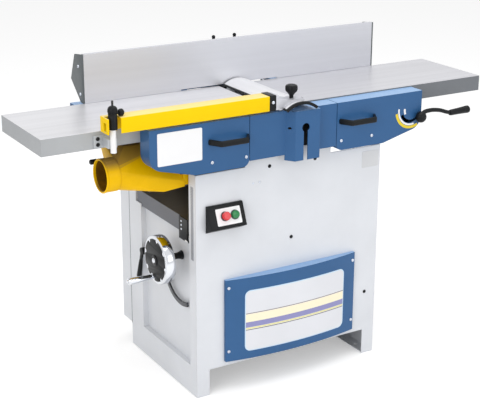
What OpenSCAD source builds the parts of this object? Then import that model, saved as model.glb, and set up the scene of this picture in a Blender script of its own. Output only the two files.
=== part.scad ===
// Combination planer thicknesser on a sheet metal cabinet.
// +X runs along the surfacing tables, -Y faces the operator, the floor is Z = 0.

/* [Surfacing tables] */
// Height of the surfacing tables above the floor
table_h = 900; // [880:1:920]
// Overall length of both surfacing tables
table_l = 1568; // [1480:1:1680]
// Width of the surfacing tables
table_w = 305; // [295:1:320]
// Depth of a table's edge
table_t = 50; // [46:1:54]
// Thickness of a table's top plate
plate_t = 16; // [12:1:20]
// Thickness of the skirts and ribs under a table
rib_t = 12; // [8:1:16]
// Gap between the two tables over the cutterblock
throat = 114; // [108:1:120]
// Thickness of a table's lip beside the cutterblock
lip_t = 22; // [18:1:24]
// Length of the thin lip beside the cutterblock
lip_l = 112; // [110:1:130]

/* [Table beams] */
// Length of a front beam
beam_l = 330; // [300:1:360]
// Height of a front beam
beam_h = 154; // [148:1:158]
// Depth of a front beam
beam_d = 58; // [50:1:66]
// Sheet thickness of the beams
beam_wall = 4; // [3:0.5:5]
// Distance between the two front beams
beam_gap = 316; // [314:1:330]
// Depth of a rear beam
rear_beam_d = 60; // [50:1:66]
// Height of a rear beam
rear_beam_h = 100; // [90:1:110]
// Radius of a table hinge pin
hinge_r = 8; // [6:0.5:10]

/* [Cabinet] */
// Width of the cabinet
cab_w = 676; // [650:1:700]
// Height of the cabinet's front panel
cab_h = 730; // [715:1:734]
// Distance of the cabinet's front ahead of the tables' front edge
cab_front = 30; // [26:1:36]
// Distance of the cabinet's rear behind the tables' rear edge
cab_rear = 126; // [118:1:134]
// Sheet thickness of the cabinet
sheet = 3; // [2:0.5:4]
// Height of the toe recess
toe_h = 88; // [70:1:100]
// Width of a front foot beside the toe recess
foot_w = 45; // [36:1:60]
// Depth of the rear cover
rear_cover_d = 75; // [60:1:90]
// Width of the bowed front panel
badge_w = 485; // [440:1:510]
// Height of the bowed front panel
badge_h = 275; // [250:1:300]
// Bow of the front panel
badge_bow = 24; // [16:1:32]

/* [Cutterblock and feed] */
// Radius of the cutterblock
cutter_r = 36; // [34:0.5:38]
// Number of knives
knives_n = 3; // [2:1:4]
// Radius of a cutterblock journal
journal_r = 10; // [8:0.5:11]
// Outer radius of a cutterblock bearing
bearing_r = 23.5; // [22:0.5:24]
// Radius of a feed roller
roller_r = 22; // [20:0.5:23]
// Radius of a feed roller's journal
roller_journal_r = 8; // [6:0.5:10]
// Radius of the cutterblock pulley
cutter_pulley_r = 27; // [24:1:28]
// Radius of the motor pulley
motor_pulley_r = 52; // [46:1:56]
// Radius of the motor's casing
motor_r = 82; // [76:1:88]

/* [Thicknessing table] */
// Length of the thicknessing table
bed_l = 634; // [610:1:664]
// Width of the thicknessing table
bed_w = 300; // [290:1:304]
// Depth of the thicknessing table's edge
bed_t = 50; // [46:1:56]
// Height of the thicknessing table's top at its lowest place
bed_z = 575; // [568:1:600]
// Radius of the lifting column
column_r = 50; // [44:1:54]
// Radius of the handwheel's rim
wheel_r = 77; // [70:1:84]
// Length of the crank grip
crank_l = 84; // [70:1:100]

/* [Dust hood] */
// Outer radius of the dust outlet
outlet_r = 50; // [46:1:52]
// Wall of the dust hood
hood_wall = 4; // [3:0.5:5]

/* [Fence] */
// Length of the fence
fence_l = 1073; // [1000:1:1120]
// Height of the fence
fence_h = 152; // [140:1:160]
// Thickness of the fence
fence_t = 14; // [12:1:16]

/* [Bridge guard] */
// Width of the guard bridge
bridge_w = 108; // [100:1:114]
// Rise of the guard bridge's arch
bridge_rise = 20; // [16:1:22]
// Length of the guard arm
arm_l = 504; // [480:1:520]
// Height of the guard arm
arm_h = 45; // [40:1:48]

/* [Handles] */
// Length of a lifting handle
handle_l = 140; // [120:1:160]
// Stand of a lifting handle off its beam
handle_stand = 42; // [36:1:48]

/* [Hidden] */
$fn = 48;
// Overrun of every cut
over = 1;
// Clearance between pieces of different bodies
gap = 0.3;
// Radial clearance of a running shaft
run = 0.05;

// Main places of the machine
cut_x = 6;
cab_x = 18;
table_front = -(table_w + cab_rear + rear_cover_d - beam_d - handle_stand) / 2;
table_rear = table_front + table_w;
cab_front_y = table_front - cab_front;
cab_rear_y = table_rear + cab_rear;
cab_left = cab_x - cab_w / 2;
cab_right = cab_x + cab_w / 2;
beam_front = table_front - beam_d;
beam_drop = 4;
beam_top = table_h - beam_drop;
left_lip = cut_x - throat / 2;
right_lip = cut_x + throat / 2;
left_beam_end = cut_x - beam_gap / 2;
right_beam_end = cut_x + beam_gap / 2;
bed_low = bed_z - bed_t;

// Outline of a front beam
beam_slope_l = 150;
beam_slope_h = 38;
beam_round = 45;
beam_round_in = 22;
beam_slope = atan(beam_slope_h / beam_slope_l);

// Rear beams and the table hinge
rear_beam_drop = 7;
rear_beam_top = table_h - rear_beam_drop;
rear_beam_y = table_rear + rear_beam_d;
left_rear_l = 390;
right_rear_l = 330;
hinge_back = 34;
hinge_y = cab_rear_y + hinge_back;
hinge_drop = 50;
hinge_z = table_h - hinge_drop;
arm_t = 14;
ear_t = 10;
hinge_wall = 12;
hinge_boss_r = hinge_r + hinge_wall;
hinge_dxs = [-296, -211, 230, 320];
hinge_xs = [for (dx = hinge_dxs) cut_x + dx];
ear_foot_drop = 90;
ear_foot_z = cab_h - ear_foot_drop;

// Side plates that carry the cutterblock and the feed
side_half = 150;
side_t = 12;
side_drop = 300;
side_low = table_h - side_drop;
side_head = 6;
side_top = table_h - lip_t - side_head;
front_plate_y = cab_front_y + sheet;
rear_plate_back = 20;
rear_plate_y = table_rear + rear_plate_back;
web_t = 8;
boss_wall = 4;
cutter_z = table_h - cutter_r;
roller_dx = 85;
roller_drop = 2;
roller_z = side_top - roller_r - roller_drop;
roller_end = 2;
finger_dx = -138;
finger_drop = 17;
finger_z = side_top - finger_drop;
finger_shaft_r = 7;
cutter_end = 3;
belt_back = 46;
belt_y = rear_plate_y + side_t + belt_back;
belt_w = 26;
belt_t = 6;
motor_dx = 172;
motor_x = cab_x + motor_dx;
motor_z = 230;
motor_l = 225;
motor_gap = 18;
chain_r = 28;
chain_t = 4;
chain_w = 6;
chain_off = 5;

// Cabinet details
front_rise = 38;
upstand_half = 52;
upstand_d = 33;
upstand_drop = 14;
upstand_top = table_h - upstand_drop;
recess = 18;
post_front = 43;
post_rear = 89;
recess_low = 97;
recess_head = 11;
recess_high = bed_low - recess_head;
pass_post = 51;
pass_lip = 8;
return_head = 3;
flange_w = 42;
flange_t = 4;
anchor_r = 6;
anchor_in = 24;
anchor_end = 60;
badge_low = 105;
badge_dx = 2;
badge_edge = 10;
cover_low = 75;
cover_high = 600;
cover_in = 4;
louvre_n = 7;
louvre_h = 7;
louvre_l = 160;
louvre_pitch = 20;

// Switch box
switch_in = 95.25;
switch_x = cab_left + switch_in;
switch_w = 123.5;
switch_low = 543;
switch_h = 86;
switch_rise = 18;
switch_top_d = 8;
switch_low_d = 36;
switch_tilt = atan((switch_low_d - switch_top_d) / (switch_h - switch_rise));
button_r = 12;
button_h = 11;
button_bed = 6;
button_press = 4;
button_edge = 1.5;
button_pitch = 34;
button_dx = 9.75;
button_up = 0.5;

// Centre cover
cover_t = 3;
cover_gap = 2;
flange_drop = 138;
flange_low = beam_top - flange_drop;
bulge_drop = 155;
bulge_low = beam_top - bulge_drop;
bulge_d = 27;
bulge_left_dx = 32;
bulge_left = cut_x - bulge_left_dx;
bulge_bend = 19;
bulge_right_dx = 76;
bulge_right = cut_x + bulge_right_dx;
key_dx = 25;
key_x = cut_x + key_dx;
key_drop = 53;
key_z = beam_top - key_drop;
key_r = 13.5;
key_slot = 15;
pin_hole_r = 4;
pin_hole_dx = 23;
pin_hole_x = cut_x - pin_hole_dx;
bracket_dx = 118;
bracket_xs = [cut_x - bracket_dx, cut_x + bracket_dx];
bracket_w = 30;
bracket_drop = 121;
bracket_low = beam_top - bracket_drop;
bracket_h = 30;

// Thicknessing table and its lift
bed_in = 3.5;
bed_left = cab_left + bed_in;
bed_front_in = 20;
bed_front = table_front + bed_front_in;
bed_rear = bed_front + bed_w;
bed_plate = 16;
bed_rib = 14;
bed_chamfer = 10;
apron_t = 16;
apron_back = 55;
column_dx = 12;
column_x = cab_x + column_dx;
column_y = (bed_front + bed_rear) / 2;
column_low = 300;
sleeve_wall = 12;
sleeve_high = 440;
sleeve_flange = 30;
column_bore = 20;
screw_in = 135;
screw_x = cab_left + screw_in;
wheel_in = 125;
wheel_y = cab_front_y + wheel_in;
wheel_z = 436;
screw_r = 9;
foot_block_h = 34;
foot_block_half = 24;
gearbox_half = 34;
stand_t = 8;
nut_r = 20;
nut_h = 40;
nut_z = 250;
hanger_t = 12;
hanger_off = 48;
hanger_y = wheel_y + hanger_off;
hanger_half = 40;
wheel_out = 74;
wheel_x = cab_left - wheel_out;
wheel_w = 32;
rim_t = 12;
web_wall = 7;
disc_r = 63;
disc_out = 2;
disc_t = 8;
scallop_n = 9;
scallop_r = 9;
shaft_r = 10;
collar_r = 20;
collar_t = 12;
collar_share = 0.75;
crank_at = 66;
crank_a = -70;
crank_pin_r = 5;
crank_r = 11.5;
crank_shares = [0.85, 0.82, 0.62];
crank_bore = crank_pin_r + run;
pointer_in = 3;
pointer_w = 55;
pointer_h = 72;
pointer_t = 4;
pointer_pitch = 13;
pointer_screw = 38;
pointer_tip = 6;
lock_in = 211;
lock_y = cab_front_y + lock_in;
lock_z = 346;
lock_stand = 24;
lock_hub_r = 13;
lock_w = 15;
lock_t = 7;
lock_round = 2.5;
lock_bend_r = 110;
lock_bend = 88;
lock_start = 25;
lever_pin_r = 5;
pin_past = 6;
feed_lean = 15;
feed_back = 112;
feed_y = cab_rear_y - feed_back;
feed_z = 378;
feed_l = 100;
feed_w = 12;
feed_hub_r = 12;
feed_stand = 32;

// Dust hood
outlet_out = 263;
outlet_x = cab_left - outlet_out;
outlet_in = 60;
outlet_y = table_front + outlet_in;
outlet_drop = 153;
outlet_z = table_h - outlet_drop;
outlet_l = 42;
neck_l = 3;
hood_out = 10;
hood_right = cab_left - hood_out;
hood_drop = 210;
hood_low = table_h - hood_drop;
hood_lap = 3;
hood_head = 30;
hood_high = table_h - table_t - hood_head;
hood_front_in = 17;
hood_front = table_front + hood_front_in;
hood_rear_in = 15;
hood_rear = table_rear - hood_rear_in;
belly_out = 80;
belly_x = cab_left - belly_out;
belly_drop = 9;
belly_z = hood_low - belly_drop;
crease_up = 14;
ridge_in = 76;
ridge_y = table_front + ridge_in;
shoulder_l = 83;
shoulder_x = outlet_x + shoulder_l;
shoulder_in = 27;
chute_left_drop = 100;
chute_left_high = table_h - chute_left_drop;
chute_right_dx = 52;
chute_right = cut_x + chute_right_dx;
chute_drop = 110;
chute_high = table_h - chute_drop;
mouth_dx = 76;
mouth_left = cut_x - mouth_dx;
mouth_drop = 20;
hood_foot = 5;
loft_step = 1.2;
hood_foot_l = 58;
ledge_w = 22;
ledge_t = 6;

// Fence and its slide
fence_x = 18;
fence_in = 2;
fence_face = table_rear - fence_in;
fence_lift = 0.5;
fence_low = table_h + fence_lift;
fence_back = fence_face + fence_t;
relief_h = 4;
relief_left_dx = 206;
relief_right_dx = 154;
relief_left = fence_x - relief_left_dx;
relief_right = fence_x + relief_right_dx;
end_t = 6;
end_top_share = 0.37;
end_top_z_share = 0.95;
end_mid_share = 0.59;
end_mid_z_share = 0.41;
end_low_share = 0.12;
slot_w = 10;
slot_d = 6;
slot_shares = [0.25, 0.75];
tilt_back = 18;
tilt_y = fence_back + tilt_back;
tilt_up = 22;
tilt_z = table_h + tilt_up;
tilt_pin_r = 6;
tilt_eye_r = 12;
cheek_t = 8;
cheek_dxs = [-36, 20];
cheek_xs = [for (dx = cheek_dxs) fence_x + dx];
cheek_mid = (cheek_xs[0] + cheek_xs[1]) / 2;
lever_up = 66;
lever_hub_r = 9;
lever_hub_l = 14;
lever_tip_r = 5;
lever_ball_r = 6;
stud_back = 40;
stud_y = tilt_y + stud_back;
stud_up = 58;
stud_z = tilt_z + stud_up;
carriage_up = 12;
carriage_top = tilt_z + carriage_up;
carriage_depth = 20;
carriage_back = tilt_y + carriage_depth;
guide_t = 12;
guide_in = 148;
guide_left = left_beam_end - guide_in;
guide_half = 21;
guide_gap = 5;
guide_y = carriage_back + guide_gap;
guide_l = 45;
guide_up = 22;
guide_top = tilt_z + guide_up;
bar_r = 12;
bar_in = 4;
bar_end = cab_rear_y + rear_cover_d - bar_in;

// Bridge guard
bridge_dx = 8;
bridge_x = cut_x + bridge_dx;
bridge_t = 3;
bridge_lift = 2;
bridge_low = table_h + bridge_lift;
bridge_end_gap = 7.2;
bridge_out = 32;
bridge_front = beam_front - bridge_out;
arch_r = (bridge_w * bridge_w / 4 + bridge_rise * bridge_rise) / (2 * bridge_rise);
arm_right_dx = 72;
arm_right = cut_x - arm_right_dx;
arm_left = arm_right - arm_l;
arm_out = 8;
arm_front = beam_front - arm_out;
arm_d = 50;
arm_lift = 8;
arm_low = beam_top + arm_lift;
arm_wall = 3;
yoke_l = 38;
yoke_slot_shares = [0.25, 0.6];
yoke_slot_z_shares = [0.1, 0.66];
end_plate_t = 12;
post_dx = 18;
post_x = arm_left - post_dx;
post_in = 17;
post_y = arm_front + post_in;
post_r = 10;
post_rod_r = 5;
post_drop = 50;
post_low = table_h - post_drop;
post_rise = 96;
post_top = table_h + post_rise;
sleeve_r = 16;
sleeve_lift = 10;
sleeve_low = arm_low + sleeve_lift;
sleeve_h = 48;
post_knob_r = 20;
post_knob_h = 22;
knob_n = 8;
knob_neck_share = 0.6;
post_bracket_w = 40;
post_bracket_h = 40;
post_bracket_z = table_h - table_t;
carrier_d = 46;
carrier_t = 8;
carrier_dx = 32;
carrier_right = cut_x + carrier_dx;
carrier_in = 2;
carrier_y = arm_front + carrier_in;
carrier_shares = [0.8, 0.5];
clamp_dx = 2;
clamp_x = cut_x - clamp_dx;
clamp_in = 22;
clamp_y = carrier_y + clamp_in;
clamp_stem_r = 4;
clamp_r = 20;
clamp_h = 14;
clamp_stem_h = 36;

// Lifting handles and the height lever
handle_bar = 9;
handle_h = 18;
handle_taper = 24;
handle_drop = 60;
handle_z = beam_top - handle_drop;
left_handle_in = 71;
left_handle_x = left_beam_end - left_handle_in;
right_handle_in = 76;
right_handle_x = right_beam_end + right_handle_in;
lever_dx = 288;
lever_x = right_beam_end + lever_dx;
lever_drop = 61;
lever_z = beam_top - lever_drop;
lever_boss = 16;
lever_path_r = 36;
lever_slot_half = 5.5;
lever_stub_r = 5;
lever_crank_half = 3.5;
lever_pivot_r = 7;
lever_from = -26;
lever_to = -162;
lever_rest = -38;
lever_hub = 12;
lever_rod_r = 5;
lever_grip_r = 9;
lever_knuckle_r = 7;
lever_knuckle_half = 6;
lever_grip_l = 62;
lever_rise = 22;
lever_fall = 8;
lever_knee = 43;
lever_run = 123;
lever_out = 10;
cross_dxs = [86, 236];
cross_xs = [for (dx = cross_dxs) right_beam_end + dx];
cross_r = 9;
cross_drop = 20;
cross_z = table_h - table_t - cross_drop;

// Shared shapes

module box(low, high) {
    translate(low) cube(high - low);
}

module rod_x(r, x0, x1) {
    translate([x0, 0, 0]) rotate([0, 90, 0]) cylinder(r = r, h = x1 - x0);
}

module rod_y(r, y0, y1) {
    translate([0, y0, 0]) rotate([-90, 0, 0]) cylinder(r = r, h = y1 - y0);
}

// A drawing in X and Z, given a thickness along Y
module slab_y(y0, y1) {
    translate([0, y1, 0]) rotate([90, 0, 0]) linear_extrude(y1 - y0) children();
}

// A drawing in Y and Z, given a thickness along X
module slab_x(x0, x1) {
    translate([x0, 0, 0]) rotate([90, 0, 90]) linear_extrude(x1 - x0) children();
}

module frame_2d(low, high) {
    translate(low) square(high - low);
}

module round_rect(w, h, r) {
    translate([r, 0]) square([w - 2 * r, h]);
    translate([0, r]) square([w, h - 2 * r]);
    for (x = [r, w - r], y = [r, h - r]) translate([x, y]) circle(r);
}

// Cabinet

module toe_cut() {
    frame_2d([cab_left + foot_w, -over], [cab_right - foot_w, toe_h]);
}

module cabinet_front() color("whitesmoke") slab_y(cab_front_y, cab_front_y + sheet) difference() {
    union() {
        frame_2d([cab_left, 0], [cab_right, cab_h]);
        // Upstand between the two beams
        frame_2d([left_beam_end + cover_gap, cab_h - over], [right_beam_end - cover_gap, cab_h + front_rise]);
    }
    toe_cut();
}

module cabinet_rear() color("whitesmoke") {
    slab_y(cab_rear_y - sheet, cab_rear_y) difference() {
        union() {
            frame_2d([cab_left, 0], [cab_right, cab_h]);
            // Upstand behind the cutterblock's pulley
            frame_2d([cut_x - upstand_half, cab_h - over], [cut_x + upstand_half, upstand_top]);
        }
        toe_cut();
    }
    for (x = [cut_x - upstand_half, cut_x + upstand_half - sheet])
        box([x, cab_rear_y - upstand_d, cab_h], [x + sheet, cab_rear_y - sheet / 2, upstand_top]);
}

side_y0 = cab_front_y + sheet;
side_y1 = cab_rear_y - sheet;
open_y0 = cab_front_y + post_front;
open_y1 = cab_rear_y - post_rear;
pass_y1 = cab_rear_y - pass_post;
pass_low = bed_low + pass_lip;

module side_sheet() difference() {
    frame_2d([side_y0, 0], [side_y1, cab_h]);
    frame_2d([open_y0, recess_low], [open_y1, cab_h + over]);
    // Wider passage beside the thicknessing table
    frame_2d([open_y0, pass_low], [pass_y1, cab_h + over]);
}

// Floor flange of a side wall with its two anchor holes
module floor_flange(x0, x1, hole_x) difference() {
    box([x0, side_y0, 0], [x1, side_y1, flange_t]);
    for (y = [side_y0 + anchor_end, side_y1 - anchor_end])
        translate([hole_x, y, -over]) cylinder(r = anchor_r, h = flange_t + 2 * over);
}

module cabinet_left() color("whitesmoke") {
    slab_x(cab_left, cab_left + sheet) side_sheet();
    // Folded returns round the recess and the set-back panel
    slab_x(cab_left, cab_left + recess + sheet / 2) {
        frame_2d([open_y0 - sheet, recess_low - sheet], [open_y1 + sheet, recess_low]);
        frame_2d([open_y0 - sheet, recess_low - sheet], [open_y0, cab_h]);
        frame_2d([open_y1, recess_low - sheet], [open_y1 + sheet, bed_low - return_head]);
        frame_2d([pass_y1, pass_low], [pass_y1 + sheet, cab_h]);
    }
    slab_x(cab_left + recess, cab_left + recess + sheet) difference() {
        frame_2d([open_y0 - sheet, recess_low - sheet], [open_y1 + sheet, recess_high]);
        translate([wheel_y, wheel_z]) circle(shaft_r + run);
        translate([lock_y, lock_z]) circle(lever_pin_r + run);
        translate([feed_y, feed_z]) circle(lever_pin_r + run);
    }
    floor_flange(cab_left, cab_left + flange_w, cab_left + anchor_in);
}

module cabinet_right() color("whitesmoke") {
    slab_x(cab_right - sheet, cab_right) difference() {
        frame_2d([side_y0, 0], [side_y1, cab_h]);
        frame_2d([open_y0, recess_high], [open_y1, cab_h + over]);
    }
    floor_flange(cab_right - flange_w, cab_right, cab_right - anchor_in);
}

module base_tray() color("gray") difference() {
    box([cab_left + sheet, side_y0, toe_h], [cab_right - sheet, side_y1, toe_h + sheet]);
    translate([screw_x, wheel_y, toe_h - over]) cylinder(r = screw_r, h = sheet + 2 * over);
}

module rear_cover() color("whitesmoke") {
    y1 = cab_rear_y + rear_cover_d;
    difference() {
        box([cab_left + cover_in, cab_rear_y, cover_low], [cab_right - cover_in, y1, cover_high]);
        box([cab_left + cover_in + sheet, cab_rear_y - over, cover_low + sheet],
            [cab_right - cover_in - sheet, y1 - sheet, cover_high - sheet]);
        // Cooling louvres behind the motor
        for (i = [0:louvre_n - 1])
            translate([
                motor_x - louvre_l / 2, y1 - sheet - over, motor_z + (i - louvre_n / 2) * louvre_pitch
            ])
                cube([louvre_l, sheet + 2 * over, louvre_h]);
    }
}

// Bowed front panel: a thin arched sheet with closed ends

bow_r = (badge_w * badge_w / 4 + badge_bow * badge_bow) / (2 * badge_bow);

module bow_2d(inset) intersection() {
    translate([0, bow_r - badge_bow - badge_edge]) circle(bow_r - inset, $fn = 160);
    translate([inset - badge_w / 2, -badge_bow - badge_edge])
        square([badge_w - 2 * inset, badge_bow + badge_edge]);
}

module badge_panel() color("steelblue") translate([cab_x + badge_dx, cab_front_y, badge_low]) difference() {
    linear_extrude(badge_h) bow_2d(0);
    translate([0, over, sheet]) linear_extrude(badge_h - 2 * sheet) bow_2d(sheet);
}

// Switch box with a face that leans back

module switch_face() translate([
    switch_x, cab_front_y - (switch_top_d + switch_low_d) / 2, switch_low + (switch_h + switch_rise) / 2
]) rotate([90 - switch_tilt, 0, 0]) children();

module switch_box() color("black") difference() {
    slab_x(switch_x - switch_w / 2, switch_x + switch_w / 2) polygon([
        [cab_front_y, switch_low],
        [cab_front_y - switch_low_d, switch_low + switch_rise],
        [cab_front_y - switch_top_d, switch_low + switch_h],
        [cab_front_y, switch_low + switch_h]
    ]);
    for (s = [-1, 1]) button_place(s) translate([0, 0, -button_bed - button_press - gap])
        cylinder(r = button_r + gap, h = button_bed + button_press + gap + over);
}

module button_place(s) switch_face() translate([button_dx + s * button_pitch / 2, button_up, 0]) children();

module button_shape() rotate_extrude() polygon([
    [0, -button_bed], [button_r, -button_bed], [button_r, button_h - button_edge],
    [button_r - button_edge, button_h], [0, button_h]
]);

module stop_button() color("red") button_place(-1) button_shape();

module start_button() color("green") button_place(1) button_shape();

// Side plates, cutterblock and feed

module cutter_axis() translate([cut_x, 0, cutter_z]) children();

module side_outline() difference() {
    union() {
        frame_2d([cut_x - side_half, side_low], [cut_x + side_half, side_top]);
        translate([cut_x, cutter_z]) circle(bearing_r + boss_wall);
    }
    translate([cut_x, cutter_z]) circle(bearing_r);
    for (s = [-1, 1]) translate([cut_x + s * roller_dx, roller_z]) circle(roller_journal_r + run);
    translate([cut_x + finger_dx, finger_z]) circle(finger_shaft_r);
}

module front_side_plate() color("dimgray") {
    slab_y(front_plate_y, front_plate_y + side_t) side_outline();
    hood_ledge(front_plate_y + side_t / 2, front_plate_y + side_t + ledge_w);
}

// Ledge that the dust hood slides on
module hood_ledge(y0, y1)
    box([cut_x - side_half, y0, hood_low - gap - ledge_t], [cut_x + side_half, y1, hood_low - gap]);

module rear_side_plate() color("dimgray") {
    slab_y(rear_plate_y, rear_plate_y + side_t) side_outline();
    for (x = [cut_x - side_half, cut_x + side_half - web_t])
        box([x, rear_plate_y + side_t / 2, side_low], [x + web_t, side_y1, cab_h]);
    hood_ledge(rear_plate_y - ledge_w, rear_plate_y + side_t / 2);
}

cutter_y0 = table_front + cutter_end;
cutter_y1 = table_rear + cutter_end;
knife_t = 4;
knife_d = 22;
knife_out = 1;

module knife_place() for (i = [0:knives_n - 1]) cutter_axis() rotate([0, i * 360 / knives_n, 0]) children();

module cutterblock() color("silver") {
    difference() {
        cutter_axis() rod_y(cutter_r - knife_out, cutter_y0, cutter_y1);
        knife_place() box([-knife_t / 2, cutter_y0 - over, cutter_r - knife_d],
            [knife_t / 2, cutter_y1 + over, cutter_r + over]);
        // Chip gullet in front of each knife
        knife_place() translate([knife_t + knife_d / 2, 0, cutter_r])
            rod_y(knife_d / 2, cutter_y0 - over, cutter_y1 + over);
    }
    cutter_axis() rod_y(journal_r, front_plate_y, cutter_y0 + over);
    cutter_axis() rod_y(journal_r, cutter_y1 - over, belt_y + belt_w / 2);
    cutter_axis() pulley(cutter_pulley_r);
}

module pulley(r) rotate([-90, 0, 0]) translate([0, 0, belt_y - belt_w / 2]) difference() {
    cylinder(r = r, h = belt_w);
    translate([0, 0, belt_w / 4]) difference() {
        cylinder(r = r + over, h = belt_w / 2);
        cylinder(r = r - belt_t, h = belt_w / 2);
    }
}

module knives() color("gainsboro") knife_place()
    box([-knife_t / 2, cutter_y0, cutter_r - knife_d], [knife_t / 2, cutter_y1, cutter_r]);

module cutter_bearings() color("silver") for (y = [front_plate_y, rear_plate_y]) cutter_axis() difference() {
    rod_y(bearing_r, y, y + side_t);
    rod_y(journal_r + run, y - over, y + side_t + over);
}

roller_y0 = front_plate_y + side_t + roller_end;
roller_y1 = rear_plate_y - roller_end;
flutes = 14;
flute_r = 2;

module roller(dx, fluted) translate([cut_x + dx, 0, roller_z]) {
    difference() {
        rod_y(roller_r, roller_y0, roller_y1);
        if (fluted) for (i = [0:flutes - 1]) rotate([0, i * 360 / flutes, 0])
            translate([0, 0, roller_r]) rod_y(flute_r, roller_y0 - over, roller_y1 + over);
    }
    rod_y(roller_journal_r, front_plate_y + gap, roller_y0 + over);
    rod_y(roller_journal_r, roller_y1 - over, chain_y + chain_w);
    rod_y(chain_r, chain_y, chain_y + chain_w);
}

chain_y = rear_plate_y + side_t + chain_off;

module infeed_roller() color("darkgray") roller(-roller_dx, true);

module outfeed_roller() color("darkgray") roller(roller_dx, false);

module chain_2d(r) {
    for (s = [-1, 1]) translate([cut_x + s * roller_dx, roller_z]) circle(r);
    translate([cut_x - roller_dx, roller_z - r]) square([2 * roller_dx, 2 * r]);
}

module feed_chain() color("dimgray") slab_y(chain_y, chain_y + chain_w) difference() {
    chain_2d(chain_r + gap + chain_t);
    chain_2d(chain_r + gap);
}

module finger_shaft() color("silver") translate([cut_x + finger_dx, 0, finger_z])
    rod_y(finger_shaft_r, front_plate_y, rear_plate_y + side_t);

finger_n = 20;
finger_w = 11;
finger_eye = 12;
finger_l = 34;
finger_tip = 3;
finger_root = 9.5;
finger_lean = 20;
finger_pitch = (roller_y1 - roller_y0 - finger_w) / (finger_n - 1);

module kickback_fingers() color("slategray") translate([cut_x + finger_dx, 0, finger_z])
    for (i = [0:finger_n - 1]) slab_y(roller_y0 + i * finger_pitch, roller_y0 + i * finger_pitch + finger_w)
        difference() {
            union() {
                circle(finger_eye);
                rotate(finger_lean) polygon([
                    [-finger_root, 0], [finger_root, 0], [finger_tip, -finger_l], [-finger_tip, -finger_l]
                ]);
            }
            circle(finger_shaft_r + run);
        }

// Motor and belt

module motor_axis() translate([motor_x, 0, motor_z]) children();

motor_y1 = belt_y - belt_w / 2 - motor_gap;
motor_y0 = motor_y1 - motor_l;
fin_n = 24;
fin_h = 6;
fin_w = 3;
motor_foot_w = 40;
motor_shaft_r = 12;
motor_bell = 30;

module motor() color("slategray") {
    difference() {
        union() {
            motor_axis() rod_y(motor_r - fin_h, motor_y0 + motor_bell - over, motor_y1 - motor_bell + over);
            motor_axis() rod_y(motor_r, motor_y0, motor_y0 + motor_bell);
            motor_axis() rod_y(motor_r, motor_y1 - motor_bell, motor_y1);
            motor_axis() for (i = [0:fin_n - 1]) rotate([0, i * 360 / fin_n, 0])
                box([-fin_w / 2, motor_y0 + motor_bell, motor_r / 2],
                    [fin_w / 2, motor_y1 - motor_bell, motor_r - over]);
            for (s = [-1, 1]) translate([s * (motor_r - motor_foot_w), 0, 0])
                box([motor_x - motor_foot_w / 2, motor_y0 + motor_bell, toe_h + sheet],
                    [motor_x + motor_foot_w / 2, motor_y1 - motor_bell, motor_z - motor_r / 2]);
        }
        motor_axis() rod_y(motor_shaft_r + run, motor_y1 - motor_bell, motor_y1 + over);
    }
}

module motor_pulley() color("dimgray") motor_axis() {
    rod_y(motor_shaft_r, motor_y1 - motor_bell + gap, belt_y + belt_w / 2);
    pulley(motor_pulley_r);
}

// Belt loop: two wraps joined by their common tangents
belt_run = sqrt(pow(motor_x - cut_x, 2) + pow(cutter_z - motor_z, 2));
belt_lean = atan2(motor_z - cutter_z, motor_x - cut_x);
belt_spread = asin((motor_pulley_r - cutter_pulley_r) / belt_run);

wrap_n = 48;

function arc_at(at, r, a) = at + r * [cos(a), sin(a)];

function wrap(at, r, a0, a1) = [for (i = [0:wrap_n]) arc_at(at, r, a0 + (a1 - a0) * i / wrap_n)];

half_turn = 180;
small_wrap = half_turn / 2 + belt_spread;

module belt_2d(r_small, r_big) translate([cut_x, cutter_z]) rotate(belt_lean) polygon(concat(
    wrap([0, 0], r_small, small_wrap, 2 * half_turn - small_wrap),
    wrap([belt_run, 0], r_big, -small_wrap, small_wrap)
));

belt_in = belt_t - gap;

belt_half = belt_w / 4 - gap;

module drive_belt() color("black") slab_y(belt_y - belt_half, belt_y + belt_half) difference() {
    belt_2d(cutter_pulley_r, motor_pulley_r);
    belt_2d(cutter_pulley_r - belt_in, motor_pulley_r - belt_in);
}

// Thicknessing table and its lift

bed_cells = 4;
bed_cell_l = (bed_l - (bed_cells + 1) * bed_rib) / bed_cells;

module thickness_table() color("darkgray") {
    bed_casting();
    // Solid seats for the column and the screw's hanger
    translate([column_x, column_y, bed_low]) cylinder(r = column_r, h = bed_t - bed_plate / 2);
    box([screw_x - hanger_half, hanger_y, bed_low],
        [screw_x + hanger_half, hanger_y + hanger_t, bed_z - bed_plate / 2]);
    // Apron across the passage at the outfeed end
    box([bed_left, bed_rear - bed_chamfer, bed_low], [bed_left + apron_t, bed_rear + apron_back, bed_z]);
}

module bed_casting() difference() {
    slab_x(bed_left, bed_left + bed_l) polygon([
        [bed_front, bed_z], [bed_rear, bed_z],
        [bed_rear, bed_z - bed_t + bed_chamfer], [bed_rear - bed_chamfer, bed_z - bed_t],
        [bed_front + bed_chamfer, bed_z - bed_t], [bed_front, bed_z - bed_t + bed_chamfer]
    ]);
    for (i = [0:bed_cells - 1], side = [0, 1])
        translate([
            bed_left + bed_rib + i * (bed_cell_l + bed_rib),
            side ? column_y + bed_rib / 2 : bed_front + bed_rib,
            bed_z - bed_t - over
        ]) cube([bed_cell_l, bed_w / 2 - 1.5 * bed_rib, bed_t - bed_plate + over]);
}

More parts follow.
